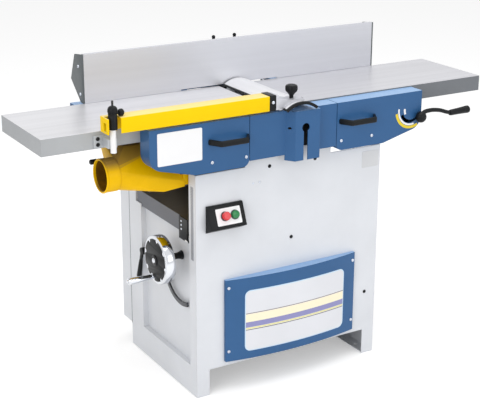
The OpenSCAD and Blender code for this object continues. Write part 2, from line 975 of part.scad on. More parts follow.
module lift_column() color("silver") {
    difference() {
        translate([column_x, column_y, column_low]) cylinder(r = column_r, h = bed_low - column_low);
        translate([column_x, column_y, column_low - over])
            cylinder(r = column_bore, h = bed_low - column_low - sheet);
    }
    // Hanger that carries the nut of the lifting screw
    box([screw_x - hanger_half, hanger_y, nut_z], [screw_x + hanger_half, hanger_y + hanger_t, bed_low]);
    difference() {
        union() {
            translate([screw_x, wheel_y, nut_z]) cylinder(r = nut_r, h = nut_h);
            box([screw_x - nut_r, wheel_y, nut_z], [screw_x + nut_r, hanger_y + hanger_t / 2, nut_z + nut_h]);
        }
        translate([screw_x, wheel_y, nut_z - over]) cylinder(r = screw_r + run, h = nut_h + 2 * over);
    }
}

module column_sleeve() color("gray") translate([column_x, column_y, toe_h + sheet]) difference() {
    union() {
        cylinder(r = column_r + gap + sleeve_wall, h = sleeve_high - toe_h - sheet);
        cylinder(r = column_r + sleeve_flange, h = sleeve_wall);
    }
    translate([0, 0, sleeve_wall]) cylinder(r = column_r + gap, h = sleeve_high);
}

module lift_screw() color("silver") translate([screw_x, wheel_y, toe_h + sheet])
    cylinder(r = screw_r, h = wheel_z - gearbox_half / 2 - toe_h - sheet);

module gearbox() color("dimgray") difference() {
    union() {
        box([screw_x - gearbox_half, wheel_y - gearbox_half, wheel_z - gearbox_half],
            [screw_x + gearbox_half, wheel_y + gearbox_half, wheel_z + gearbox_half]);
        box([screw_x - gearbox_half, wheel_y - gearbox_half - stand_t, toe_h + sheet],
            [screw_x + gearbox_half, wheel_y - gearbox_half + over, wheel_z + gearbox_half]);
        box([screw_x - foot_block_half, wheel_y - gearbox_half - over, toe_h + sheet],
            [screw_x + foot_block_half, wheel_y + foot_block_half, toe_h + sheet + foot_block_h]);
    }
    translate([screw_x, wheel_y, toe_h])
        cylinder(r = screw_r + run, h = wheel_z - gearbox_half / 2 - toe_h + gap);
    translate([0, wheel_y, wheel_z])
        rod_x(shaft_r + run, screw_x - gearbox_half - over, screw_x - shaft_r - gap);
}

module wheel_axis() translate([0, wheel_y, wheel_z]) children();

module handwheel_rim() color("gainsboro") {
    wheel_axis() rotate([0, 90, 0]) rotate_extrude($fn = 96) {
        // Crowned rim and a dished web
        translate([wheel_r - rim_t, wheel_x]) round_rect(rim_t, wheel_w, rim_t / 3);
        translate([shaft_r, wheel_x + wheel_w / 2]) square([wheel_r - rim_t - shaft_r + over, web_wall]);
        translate([shaft_r, wheel_x + wheel_w / 2]) square([shaft_r, wheel_w / 2]);
    }
    crank_place() rod_x(crank_pin_r, wheel_x - crank_l - web_wall, wheel_x + (wheel_w + web_wall) / 2);
}

module crank_place() wheel_axis() rotate([crank_a, 0, 0]) translate([0, crank_at, 0]) children();

disc_x = wheel_x - disc_out;

module handwheel_disc() color("black") wheel_axis() slab_x(disc_x, disc_x + disc_t) difference() {
    circle(disc_r);
    for (i = [0:scallop_n - 1]) rotate(crank_a + i * 360 / scallop_n)
        translate([disc_r + scallop_r / 3, 0]) circle(scallop_r);
    circle(shaft_r + run);
}

module handwheel_shaft() color("black") wheel_axis() rod_x(shaft_r, disc_x, screw_x - shaft_r - 2 * gap);

module shaft_flange() color("black") wheel_axis() difference() {
    union() {
        rod_x(collar_r, cab_left + recess - collar_t / 2, cab_left + recess);
        rod_x(collar_r * collar_share, cab_left + recess - collar_t, cab_left + recess);
    }
    rod_x(shaft_r + run, cab_left, cab_left + recess + over);
}

module crank_grip() color("gainsboro") crank_place() difference() {
    rotate([0, 90, 0]) rotate_extrude() polygon([
        [0, wheel_x - crank_l], [crank_r * crank_shares[0], wheel_x - crank_l],
        [crank_r, wheel_x - crank_l + sheet], [crank_r * crank_shares[1], wheel_x - crank_l / 2],
        [crank_r * crank_shares[2], wheel_x - gap], [0, wheel_x - gap]
    ]);
    rod_x(crank_bore, wheel_x - crank_l - over, wheel_x);
}

panel_x = cab_left + recess;

// Curved flat lever that locks the table's height
module lock_lever() color("gainsboro") translate([panel_x, lock_y, lock_z]) {
    rod_x(lock_hub_r, -lock_stand, -gap);
    rod_x(lever_pin_r, -lock_stand / 2, sheet + pin_past);
    translate([-lock_stand / 2, -lock_bend_r * cos(lock_start), lock_bend_r * sin(lock_start)])
        rotate([90, 0, 90]) rotate([0, 0, -lock_start - lock_bend]) rotate_extrude(angle = lock_bend)
            translate([lock_bend_r - lock_w / 2, -lock_t / 2]) round_rect(lock_w, lock_t, lock_round);
}

// Lever beside the rear post that engages the feed
module feed_lever() color("black") translate([panel_x, feed_y, feed_z]) {
    rod_x(feed_hub_r, -feed_stand, -gap);
    rod_x(lever_pin_r, -feed_stand / 2, sheet + pin_past);
    slab_x(-feed_stand, feed_w / 2 - feed_stand) rotate(feed_lean) {
        translate([-feed_w / 2, -feed_l]) square([feed_w, feed_l]);
        translate([0, -feed_l]) circle(feed_w / 2);
    }
}

pointer_y = bed_front + pointer_in;

// Plate on the table's end with the pointer of its height
module table_pointer() color("black") slab_x(bed_left - pointer_t, bed_left) difference() {
    union() {
        frame_2d([pointer_y, bed_z - pointer_h], [pointer_y + pointer_w, bed_z - gap]);
        polygon([
            [pointer_y + over, bed_z - pointer_h], [pointer_y + over, bed_z - pointer_h + 2 * pointer_tip],
            [pointer_y - pointer_tip, bed_z - pointer_h]
        ]);
    }
    for (i = [1:3]) translate([pointer_y + pointer_screw, bed_z - i * pointer_pitch]) circle(pointer_t / 2);
}

// Dust hood: a round outlet that opens into a wide chute under the cutterblock

// Shell of the hood, from the outlet over a shoulder and a belly to the cabinet's side
module hood_loft(inset) {
    x0 = outlet_x + outlet_l + neck_l;
    // Short neck behind the hose seat
    translate([0, outlet_y, outlet_z])
        rod_x(outlet_r - loft_step - inset, x0 - neck_l - over, x0 - over / 2, $fn = 32);
    hull() {
        translate([0, outlet_y, outlet_z]) rod_x(outlet_r - 2 * loft_step - inset, x0 - over, x0, $fn = 32);
        translate([shoulder_x + inset, ridge_y + inset, hood_high - inset - over])
            cube([over, hood_rear - shoulder_in - ridge_y - 2 * inset, over]);
        translate([belly_x, hood_front + inset, belly_z + inset])
            cube([over, hood_rear - hood_front - 2 * inset, over]);
        slab_x(hood_right - sheet, hood_right) polygon([
            [hood_front + inset, hood_low - hood_lap + inset],
            [hood_rear - inset, hood_low - hood_lap + inset],
            [hood_rear - inset, hood_high - inset], [ridge_y + inset, hood_high - inset],
            [hood_front + inset, hood_low + crease_up - inset]
        ]);
    }
}

module chute_2d(inset) {
    x0 = hood_right - hood_wall - over + inset;
    polygon([
        [x0, hood_low + loft_step + inset], [chute_right - inset, hood_low + loft_step + inset],
        [chute_right - inset, chute_high - inset], [x0, chute_left_high - inset]
    ]);
}

chute_y0 = hood_front + loft_step;
chute_y1 = hood_rear - loft_step;

module dust_hood() color("goldenrod") difference() {
    union() {
        translate([0, outlet_y, outlet_z]) rod_x(outlet_r, outlet_x, outlet_x + outlet_l);
        hood_loft(0);
        slab_y(chute_y0, chute_y1) chute_2d(0);
        // Feet that run on the ledges of the side plates
        box([chute_right - hood_foot_l, front_plate_y + side_t + gap, hood_low],
            [chute_right - over, chute_y0 + hood_wall / 2, hood_low + hood_foot]);
        box([chute_right - hood_foot_l, chute_y1 - hood_wall / 2, hood_low],
            [chute_right - over, rear_plate_y - gap, hood_low + hood_foot]);
    }
    translate([0, outlet_y, outlet_z]) rod_x(outlet_r - hood_wall, outlet_x - over, outlet_x + outlet_l);
    hood_loft(hood_wall);
    slab_y(chute_y0 + hood_wall, chute_y1 - hood_wall) chute_2d(hood_wall);
    // Mouth of the chute below the cutterblock
    box([mouth_left, chute_y0 + hood_wall, chute_high - mouth_drop],
        [chute_right - hood_wall, chute_y1 - hood_wall, chute_left_high + over]);
}

// Surfacing tables

table_cells = 5;

module table_casting(x0, x1, lip_at) difference() {
    box([x0, table_front, table_h - table_t], [x1, table_rear, table_h]);
    // Thin lip beside the cutterblock
    lx0 = lip_at < 0 ? x1 - lip_l : x0 - over;
    box([lx0, table_front - over, table_h - table_t - over],
        [lx0 + lip_l + over, table_rear + over, table_h - lip_t]);
    // Pockets between the ribs
    px0 = lip_at < 0 ? x0 + rib_t : x0 + lip_l + rib_t;
    cell = (x1 - x0 - lip_l - (table_cells + 1) * rib_t) / table_cells;
    for (i = [0:table_cells - 1], side = [0, 1])
        translate([
            px0 + i * (cell + rib_t),
            side ? (table_front + table_rear + rib_t) / 2 : table_front + rib_t,
            table_h - table_t - over
        ]) cube([cell, table_w / 2 - 1.5 * rib_t, table_t - plate_t + over]);
}

module left_table() color("silver") table_casting(-table_l / 2, left_lip, -1);

module right_table() color("silver") difference() {
    table_casting(right_lip, table_l / 2, 1);
    box([right_lip - over, table_front - over, table_h - table_t - over],
        [table_l / 2 + over, table_front + gap, table_h + over]);
    box([right_lip - over, table_rear - gap, table_h - table_t - over],
        [table_l / 2 + over, table_rear + over, table_h + over]);
}

// Front beams: folded channels with a swept lower corner at the outer end

module beam_outline(d) {
    t = tan(beam_slope);
    zc = (beam_slope_l - beam_round) * t + beam_round / cos(beam_slope);
    r = beam_round - d;
    ri = beam_round_in - d;
    polygon([
        [d, beam_h - d], [d, zc],
        [beam_round - r * sin(beam_slope), zc - r * cos(beam_slope)],
        [beam_slope_l + d * tan(beam_slope / 2), d],
        [beam_l - beam_round_in, d], [beam_l - d, beam_round_in], [beam_l - d, beam_h - d]
    ]);
    translate([beam_round, zc]) circle(r);
    translate([beam_l - beam_round_in, beam_round_in]) circle(ri);
}

// The drawing starts at the beam's outer lower corner
module beam_shell() difference() {
    slab_y(beam_front, table_front) beam_outline(0);
    slab_y(beam_front + beam_wall, table_front + over) beam_outline(beam_wall);
}

module left_beam() color("steelblue") translate([left_beam_end - beam_l, 0, beam_top - beam_h]) beam_shell();

module right_beam() color("steelblue") difference() {
    union() {
        translate([right_beam_end + beam_l, 0, beam_top - beam_h]) mirror([1, 0, 0]) beam_shell();
        // Bearing of the height lever
        translate([lever_x, 0, lever_z]) rod_y(2 * lever_pivot_r, table_front - lever_boss, table_front);
        box([lever_x - 2 * lever_pivot_r, table_front - lever_boss / 2, lever_z],
            [lever_x + 2 * lever_pivot_r, table_front, beam_top - beam_wall / 2]);
    }
    translate([lever_x, 0, lever_z])
        rod_y(lever_pivot_r + run, table_front - lever_boss - over, table_front + over);
    // Curved slot that the lever runs in
    translate([lever_x, 0, lever_z]) slab_y(beam_front - over, beam_front + beam_wall + over) lever_slot();
}

module lever_slot() intersection() {
    difference() {
        circle(lever_path_r + lever_slot_half);
        circle(lever_path_r - lever_slot_half);
    }
    polygon(concat([[0, 0]], wrap([0, 0], 2 * lever_path_r, lever_from, lever_to)));
}

// Lifting handles

handle_half = handle_l / 2;
handle_in = handle_stand - handle_bar;

module handle_2d() polygon([
    [-handle_half, 0], [handle_bar - handle_half, 0],
    [handle_taper + handle_bar / 2 - handle_half, -handle_in],
    [handle_half - handle_taper - handle_bar / 2, -handle_in],
    [handle_half - handle_bar, 0], [handle_half, 0],
    [handle_half - handle_taper, -handle_stand], [handle_taper - handle_half, -handle_stand]
]);

module lifting_handle(x) translate([x, beam_front, handle_z - handle_h / 2])
    linear_extrude(handle_h) handle_2d();

module left_handle() color("black") lifting_handle(left_handle_x);

module right_handle() color("black") lifting_handle(right_handle_x);

// Rear beams with hinge arms

module hinge_arm(x) slab_x(x - arm_t / 2, x + arm_t / 2) difference() {
    union() {
        polygon([
            [rear_beam_y - beam_wall / 2, rear_beam_top],
            [rear_beam_y - beam_wall / 2, rear_beam_top - rear_beam_h],
            [hinge_y, hinge_z - hinge_boss_r], [hinge_y, hinge_z + hinge_boss_r]
        ]);
        translate([hinge_y, hinge_z]) circle(hinge_boss_r);
    }
    translate([hinge_y, hinge_z]) circle(hinge_r + run);
}

module rear_beam(x0, x1, play) difference() {
    box([x0, table_rear + play, rear_beam_top - rear_beam_h], [x1, rear_beam_y, rear_beam_top]);
    box([x0 - over, table_rear - over, rear_beam_top - rear_beam_h - over],
        [x1 + over, rear_beam_y - beam_wall, rear_beam_top - beam_wall]);
}

module left_rear_beam() color("lightsteelblue") {
    rear_beam(left_beam_end - left_rear_l, left_beam_end, 0);
    for (i = [0, 1]) hinge_arm(hinge_xs[i]);
    // Guide of the fence slide on the beam's top
    difference() {
        union() {
            box([guide_left, rear_beam_y - rear_beam_d / 2, rear_beam_top],
                [cheek_mid + guide_half, guide_y + guide_l, rear_beam_top + guide_t]);
            // Key that sinks into the beam's top
            box([guide_left, rear_beam_y - rear_beam_d / 2, rear_beam_top - beam_wall / 2],
                [left_beam_end, rear_beam_y, rear_beam_top + over]);
            box([cheek_mid - guide_half, guide_y, rear_beam_top + guide_t / 2],
                [cheek_mid + guide_half, guide_y + guide_l, guide_top]);
        }
        translate([cheek_mid, 0, tilt_z]) rod_y(bar_r + run, guide_y - over, guide_y + guide_l + over);
    }
}

module right_rear_beam() color("lightsteelblue") {
    rear_beam(right_beam_end, right_beam_end + right_rear_l, 0);
    for (i = [2, 3]) hinge_arm(hinge_xs[i]);
    // Cross shafts under the infeed table
    for (x = cross_xs) translate([x, 0, cross_z])
        rod_y(cross_r, beam_front + beam_wall, rear_beam_y - beam_wall / 2);
}

module hinge_ear(x0) slab_x(x0, x0 + ear_t) union() {
    polygon([
        [cab_rear_y, ear_foot_z], [hinge_y + hinge_boss_r, hinge_z],
        [hinge_y - hinge_boss_r, hinge_z + hinge_r], [cab_rear_y, cab_h]
    ]);
    translate([hinge_y, hinge_z]) circle(hinge_boss_r);
}

module hinge_brackets() color("gray") for (x = hinge_xs) {
    foot = arm_t / 2 + gap + ear_t;
    hinge_ear(x - foot);
    hinge_ear(x + arm_t / 2 + gap);
    translate([0, hinge_y, hinge_z]) rod_x(hinge_r, x - foot, x + foot);
}

// Height lever of the infeed table, drawn with its stub at the rest angle

module height_lever() color("black") translate([lever_x, 0, lever_z]) {
    rod_y(lever_pivot_r, beam_front + 2 * beam_wall, table_front);
    rotate([0, -lever_rest, 0]) {
        box([0, beam_front + 2 * beam_wall + gap, -lever_crank_half],
            [lever_path_r, beam_front + 3 * beam_wall - gap, lever_crank_half]);
        translate([lever_path_r, 0, 0]) {
            rod_y(lever_stub_r, beam_front - lever_out, beam_front + 3 * beam_wall);
            rod_y(lever_hub, beam_front - lever_out - lever_hub, beam_front - gap);
        }
    }
    lever_rod();
}

lever_root = [
    lever_path_r * cos(lever_rest), beam_front - lever_out - lever_hub / 2, lever_path_r * sin(lever_rest)
];
module lever_rod() translate(lever_root) {
    a = atan2(lever_rise, lever_knee);
    rotate([0, -a, 0]) rod_x(lever_rod_r, 0, lever_knee / cos(a));
    translate([lever_knee, 0, lever_rise]) {
        rod_y(lever_knuckle_r, -lever_knuckle_half, lever_knuckle_half);
        rotate([0, lever_fall, 0]) {
            rod_x(lever_rod_r, 0, lever_run);
            rod_x(lever_grip_r, lever_run - lever_grip_l / 2, lever_run + lever_grip_l / 2);
        }
    }
}

// Fixed cover in front of the cutterblock, with a keyhole

module cover_plan() {
    y0 = beam_front;
    y1 = beam_front - bulge_d;
    polygon([
        [left_beam_end + cover_gap, y0], [bulge_left, y0], [bulge_left + bulge_bend, y1], [bulge_right, y1],
        [bulge_right, y0], [right_beam_end - cover_gap, y0], [right_beam_end - cover_gap, y0 + cover_t],
        [bulge_right - cover_t, y0 + cover_t], [bulge_right - cover_t, y1 + cover_t],
        [bulge_left + bulge_bend + cover_t / 2, y1 + cover_t], [bulge_left + cover_t / 2, y0 + cover_t],
        [left_beam_end + cover_gap, y0 + cover_t]
    ]);
}

module centre_cover() color("steelblue") {
    difference() {
        translate([0, 0, bulge_low]) linear_extrude(beam_top - bulge_low) cover_plan();
        box([left_beam_end, beam_front - over, bulge_low - over],
            [bulge_left, beam_front + cover_t + over, flange_low]);
        box([bulge_right + over, beam_front - over, bulge_low - over],
            [right_beam_end, beam_front + cover_t + over, flange_low]);
        translate([key_x, 0, key_z])
            rod_y(key_r, beam_front - bulge_d - over, beam_front - bulge_d + cover_t + over);
        box([key_x - key_slot / 2, beam_front - bulge_d - over, bulge_low - over],
            [key_x + key_slot / 2, beam_front - bulge_d + cover_t + over, key_z]);
        translate([pin_hole_x, 0, key_z]) rod_y(pin_hole_r, beam_front - bulge_d - over, beam_front);
    }
    // Spacers to the front side plate
    for (x = bracket_xs) box([x - bracket_w / 2, beam_front + cover_t / 2, bracket_low],
        [x + bracket_w / 2, front_plate_y, bracket_low + bracket_h]);
    // Top flanges that reach back to the tables
    box([left_beam_end + cover_gap, beam_front + cover_t / 2, beam_top - cover_t],
        [bulge_left, table_front - cover_gap, beam_top]);
    box([bulge_right - cover_t, beam_front + cover_t / 2, beam_top - cover_t],
        [right_beam_end - cover_gap, table_front - cover_gap, beam_top]);
}

// Fence

module fence_plate() color("silver") difference() {
    box([fence_x - fence_l / 2, fence_face, fence_low],
        [fence_x + fence_l / 2, fence_back, fence_low + fence_h]);
    box([relief_left, fence_face - over, fence_low - over],
        [relief_right, fence_back + over, fence_low + relief_h]);
    // Mounting grooves along the back
    for (share = slot_shares)
        box([fence_x - fence_l / 2 - over, fence_back - slot_d, fence_low + share * fence_h - slot_w / 2],
            [fence_x + fence_l / 2 + over, fence_back + over, fence_low + share * fence_h + slot_w / 2]);
}

module end_outline() polygon([
    [fence_face, fence_low], [fence_face, fence_low + fence_h],
    [fence_face + end_top_share * fence_h, fence_low + end_top_z_share * fence_h],
    [fence_face + end_mid_share * fence_h, fence_low + end_mid_z_share * fence_h],
    [fence_face + end_low_share * fence_h, fence_low]
]);

module fence_ends() color("dimgray") for (x = [fence_x - fence_l / 2 - end_t, fence_x + fence_l / 2])
    slab_x(x, x + end_t) end_outline();

module fence_bracket() color("dimgray") for (x = cheek_xs)
    slab_x(x - cheek_t / 2, x + cheek_t / 2) difference() {
    union() {
        polygon([
            [fence_back, tilt_z - tilt_eye_r], [fence_back, stud_z + tilt_eye_r],
            [stud_y, stud_z + tilt_eye_r], [stud_y, stud_z - tilt_eye_r], [tilt_y + tilt_eye_r, tilt_z]
        ]);
        translate([tilt_y, tilt_z]) circle(tilt_eye_r);
        translate([stud_y, stud_z]) circle(tilt_eye_r);
    }
    translate([tilt_y, tilt_z]) circle(tilt_pin_r + run);
}

module fence_slide() color("gray") {
    box([cheek_xs[0] + cheek_t / 2 + gap, tilt_y - tilt_pin_r - sheet, rear_beam_top + guide_t + gap],
        [cheek_xs[1] - cheek_t / 2 - gap, carriage_back, carriage_top]);
    translate([0, tilt_y, tilt_z]) rod_x(tilt_pin_r, cheek_xs[0] - cheek_t, cheek_xs[1] + cheek_t);
    translate([cheek_mid, 0, tilt_z]) rod_y(bar_r, carriage_back - over, bar_end);
}

module fence_levers() color("black") for (s = [0, 1]) {
    side = s ? 1 : -1;
    x = cheek_xs[s] + side * (cheek_t / 2 + gap + lever_hub_l / 2);
    translate([x, stud_y, stud_z]) {
        rod_x(lever_hub_r, -lever_hub_l / 2, lever_hub_l / 2);
        cylinder(r = lever_tip_r, h = lever_up);
        translate([0, 0, lever_up]) sphere(lever_ball_r);
    }
}

// Bridge guard

module guard_post() color("silver") {
    translate([post_x, post_y, post_low]) cylinder(r = post_r, h = sleeve_low - gap - post_low);
    translate([post_x, post_y, post_low]) cylinder(r = post_rod_r, h = post_top - post_low);
    difference() {
        box([post_x - post_bracket_w, post_y - post_r, post_bracket_z],
            [post_x + post_r, table_front, post_bracket_z + post_bracket_h]);
        // The bracket's angle: a thin flange on the table and an arm to the post
        box([post_x - post_bracket_w - over, post_y - post_r - over, post_bracket_z - over],
            [post_x - post_r, table_front - post_r, post_bracket_z + post_bracket_h + over]);
        translate([post_x - (post_bracket_w + post_r) / 2, 0, post_bracket_z + post_bracket_h / 2])
            rod_y(post_rod_r / 2, table_front - post_r - over, table_front + over);
    }
}

module guard_sleeve() color("black") difference() {
    translate([post_x, post_y, sleeve_low]) cylinder(r = sleeve_r, h = sleeve_h);
    translate([post_x, post_y, sleeve_low - over]) cylinder(r = post_rod_r + run, h = sleeve_h + 2 * over);
}

knob_low = sleeve_low + sleeve_h + gap;

module guard_post_knob() color("black") translate([post_x, post_y, knob_low]) difference() {
    union() {
        cylinder(r = post_knob_r, h = post_knob_h * knob_neck_share);
        cylinder(r = post_knob_r * knob_neck_share, h = post_knob_h);
    }
    translate([0, 0, -over]) cylinder(r = post_rod_r + run, h = post_knob_h + 2 * over);
    for (i = [0:knob_n - 1]) rotate(i * 360 / knob_n) translate([post_knob_r + clamp_stem_r / 2, 0, -over])
        cylinder(r = clamp_stem_r, h = post_knob_h);
}

module guard_arm() color("gold") {
    // Box section open at the bottom
    difference() {
        box([arm_left, arm_front, arm_low], [arm_right, arm_front + arm_d, arm_low + arm_h]);
        box([arm_left - over, arm_front + arm_wall, arm_low - over],
            [arm_right + over, arm_front + arm_d - arm_wall, arm_low + arm_h - arm_wall]);
    }
    // Yoke round the sleeve with its slotted end
    box([yoke_x, post_y + sleeve_r, arm_low], [arm_left + over, arm_front + arm_d, arm_low + arm_h]);
    difference() {
        box([yoke_x - arm_wall, arm_front, arm_low], [yoke_x + over, arm_front + arm_d, arm_low + arm_h]);
        slab_x(yoke_x - arm_wall - over, yoke_x + 2 * over) frame_2d(
            [arm_front + arm_d * yoke_slot_shares[0], arm_low + arm_h * yoke_slot_z_shares[0]],
            [arm_front + arm_d * yoke_slot_shares[1], arm_low + arm_h * yoke_slot_z_shares[1]]
        );
    }
}

yoke_x = arm_left - yoke_l;

module arch_2d(r, low) intersection() {
    translate([bridge_x, bridge_low + bridge_rise - arch_r]) circle(r, $fn = 96);
    frame_2d([bridge_x - bridge_w, low], [bridge_x + bridge_w, bridge_low + 2 * bridge_rise]);
}

bridge_y1 = fence_face - bridge_end_gap;

module guard_bridge() color("gainsboro") slab_y(bridge_front, bridge_y1) difference() {
    arch_2d(arch_r, bridge_low);
    arch_2d(arch_r - bridge_t, bridge_low - over);
}

module guard_carrier() color("silver") difference() {
    union() {
        // Saddle over the bridge
        slab_y(carrier_y, carrier_y + carrier_d) intersection() {
            difference() {
                arch_2d(arch_r + gap + carrier_t, bridge_low);
                arch_2d(arch_r + gap, bridge_low - over);
            }
            frame_2d([arm_right, bridge_low], [carrier_right, bridge_low + 2 * bridge_rise]);
        }
        // Block bolted to the arm's end
        box([arm_right, carrier_y, arm_low],
            [arm_right + end_plate_t, carrier_y + carrier_d, arm_low + arm_h]);
        slab_y(carrier_y, carrier_y + carrier_d) difference() {
            polygon([
                [arm_right, arm_low], [arm_right, arm_low + arm_h * carrier_shares[0]],
                [clamp_x, arm_low + arm_h * carrier_shares[1]], [clamp_x, arm_low]
            ]);
            arch_2d(arch_r + gap, bridge_low - over);
        }
    }
    translate([clamp_x, clamp_y, bridge_low]) cylinder(r = clamp_stem_r + run, h = 3 * bridge_rise);
}

clamp_low = bridge_low + bridge_rise + gap;

module guard_knob() color("black") translate([clamp_x, clamp_y, clamp_low]) {
    cylinder(r = clamp_stem_r, h = clamp_stem_h + over);
    translate([0, 0, clamp_stem_h]) difference() {
        cylinder(r = clamp_r, h = clamp_h);
        for (i = [0:knob_n - 1]) rotate(i * 360 / knob_n) translate([clamp_r + clamp_stem_r / 2, 0, -over])
            cylinder(r = clamp_stem_r, h = clamp_h + 2 * over);
    }
}

cabinet_front();
cabinet_rear();
cabinet_left();
cabinet_right();
base_tray();
rear_cover();
badge_panel();
switch_box();
stop_button();
start_button();
front_side_plate();
rear_side_plate();
cutterblock();
knives();
cutter_bearings();
infeed_roller();
outfeed_roller();
feed_chain();
finger_shaft();
kickback_fingers();
motor();
motor_pulley();
drive_belt();
thickness_table();
lift_column();
column_sleeve();
lift_screw();
gearbox();
handwheel_rim();
handwheel_disc();
handwheel_shaft();
shaft_flange();
crank_grip();
lock_lever();
feed_lever();
table_pointer();
dust_hood();
left_table();
right_table();
left_beam();
right_beam();
left_handle();
right_handle();
left_rear_beam();
right_rear_beam();
hinge_brackets();
height_lever();
centre_cover();
fence_plate();
fence_ends();
fence_bracket();
fence_slide();
fence_levers();
guard_post();
guard_sleeve();
guard_post_knob();
guard_arm();
guard_carrier();
guard_knob();
guard_bridge();
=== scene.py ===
import math
import bpy
from mathutils import Matrix, Vector


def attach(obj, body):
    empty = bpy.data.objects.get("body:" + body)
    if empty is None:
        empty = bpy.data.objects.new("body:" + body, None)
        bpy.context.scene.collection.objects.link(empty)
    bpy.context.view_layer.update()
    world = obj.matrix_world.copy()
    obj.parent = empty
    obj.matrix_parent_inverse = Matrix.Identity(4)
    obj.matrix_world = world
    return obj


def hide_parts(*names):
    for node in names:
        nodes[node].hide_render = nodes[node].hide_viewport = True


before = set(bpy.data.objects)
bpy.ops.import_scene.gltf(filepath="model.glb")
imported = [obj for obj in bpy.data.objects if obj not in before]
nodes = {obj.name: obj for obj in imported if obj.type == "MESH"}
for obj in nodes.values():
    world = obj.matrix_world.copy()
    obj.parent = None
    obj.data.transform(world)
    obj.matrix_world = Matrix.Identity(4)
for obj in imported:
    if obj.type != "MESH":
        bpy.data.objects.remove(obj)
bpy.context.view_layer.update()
print("frame loaded:", len(nodes), "nodes")

toFront, toLeft, toRight = (0, -1, 0), (-1, 0, 0), (1, 0, 0)
toBack, toTop, toFloor = (0, 1, 0), (0, 0, 1), (0, 0, -1)


# helpers for modelling: they take millimetres, as on the drawing

def mm(x, y, z):
    return Vector((x, y, z)) / 1000.0


def clearSelection():
    if bpy.context.object and bpy.context.object.mode != "OBJECT":
        bpy.ops.object.mode_set(mode="OBJECT")
    bpy.ops.object.select_all(action="DESELECT")


def useOnly(piece):
    clearSelection()
    piece.select_set(True)
    bpy.context.view_layer.objects.active = piece


def startEdit(piece, kind="VERT", action="SELECT"):
    useOnly(piece)
    bpy.ops.object.mode_set(mode="EDIT")
    bpy.ops.mesh.select_mode(type=kind)
    bpy.ops.mesh.select_all(action=action)


def endEdit():
    bpy.ops.object.mode_set(mode="OBJECT")


def settle(piece):
    useOnly(piece)
    bpy.ops.object.transform_apply(location=True, rotation=True, scale=True)


def addBlock(name, low, high):
    clearSelection()
    low, high = mm(*low), mm(*high)
    bpy.ops.mesh.primitive_cube_add(size=1, location=(low + high) / 2)
    piece = bpy.context.object
    piece.name = name
    piece.scale = high - low
    settle(piece)
    return piece


def addDrum(name, radius, start, end, sides=32):
    clearSelection()
    start, end = mm(*start), mm(*end)
    along = end - start
    turn = along.to_track_quat("Z", "Y").to_euler()
    bpy.ops.mesh.primitive_cylinder_add(vertices=sides, radius=radius / 1000.0, depth=along.length,
                                        location=(start + end) / 2, rotation=turn)
    piece = bpy.context.object
    piece.name = name
    settle(piece)
    return piece


# picks edges by their middle, in millimetres, and their way, and bevels them
def bevelEdges(piece, test, radius, steps):
    startEdit(piece, "EDGE", "DESELECT")
    endEdit()
    points = piece.data.vertices
    for edge in piece.data.edges:
        a, b = points[edge.vertices[0]].co, points[edge.vertices[1]].co
        edge.select = test((a + b) * 500.0, (b - a).normalized())
    bpy.ops.object.mode_set(mode="EDIT")
    bpy.ops.mesh.bevel(offset=radius / 1000.0, segments=steps, affect="EDGES")
    endEdit()


def roundCorners(piece, along, radius, steps=5):
    axis = Vector(along)
    bevelEdges(piece, lambda mid, way: abs(way.dot(axis)) > 0.99, radius, steps)


# a shallow field set into the face that looks one way
def sinkField(piece, way, margin, depth):
    startEdit(piece, "FACE", "DESELECT")
    endEdit()
    for face in piece.data.polygons:
        face.select = face.normal.dot(Vector(way)) > 0.9
    bpy.ops.object.mode_set(mode="EDIT")
    bpy.ops.mesh.inset(thickness=margin / 1000.0, depth=-depth / 1000.0)
    endEdit()


def softenEdges(piece, width, steps=3, angle=35):
    useOnly(piece)
    mod = piece.modifiers.new("soft edges", "BEVEL")
    mod.width = width / 1000.0
    mod.segments = steps
    mod.limit_method = "ANGLE"
    mod.angle_limit = math.radians(angle)
    mod.use_clamp_overlap = True
    bpy.ops.object.modifier_apply(modifier=mod.name)


def softBlock(name, low, high, width, steps=3):
    piece = addBlock(name, low, high)
    softenEdges(piece, width, steps)
    return piece


def carve(piece, tool, operation="DIFFERENCE"):
    useOnly(piece)
    mod = piece.modifiers.new("carve", "BOOLEAN")
    mod.operation = operation
    mod.solver = "EXACT"
    mod.object = tool
    bpy.ops.object.modifier_apply(modifier=mod.name)
    bpy.data.objects.remove(tool)


def joinAll(pieces, name):
    clearSelection()
    for p in pieces:
        p.select_set(True)
    bpy.context.view_layer.objects.active = pieces[0]
    bpy.ops.object.join()
    pieces[0].name = name
    return pieces[0]


# a profile of (radius, height) points spun about an axis
def turnedPiece(name, profile, base, axis, steps=40, sweep=360.0, start=None):
    clearSelection()
    bpy.ops.mesh.primitive_plane_add(size=0.001)
    piece = bpy.context.object
    piece.name = name
    startEdit(piece)
    bpy.ops.mesh.merge(type="CENTER")
    last = profile[0]
    bpy.ops.transform.translate(value=mm(last[0], 0, last[1]))
    for point in profile[1:]:
        step = mm(point[0] - last[0], 0, point[1] - last[1])
        bpy.ops.mesh.extrude_region_move(TRANSFORM_OT_translate={"value": step})
        last = point
    bpy.ops.mesh.select_all(action="SELECT")
    bpy.ops.mesh.spin(steps=steps, angle=-math.radians(sweep), center=(0, 0, 0), axis=toTop)
    bpy.ops.mesh.select_all(action="SELECT")
    bpy.ops.mesh.remove_doubles(threshold=0.00002)
    bpy.ops.mesh.normals_make_consistent(inside=False)
    endEdit()
    way = Vector(axis).normalized()
    turn = way.to_track_quat("Z", "Y")
    if start is not None:
        side = Vector(start).normalized()
        turn = Matrix((side, way.cross(side), way)).transposed().to_quaternion()
    piece.matrix_world = Matrix.Translation(mm(*base)) @ turn.to_matrix().to_4x4()
    settle(piece)
    return piece


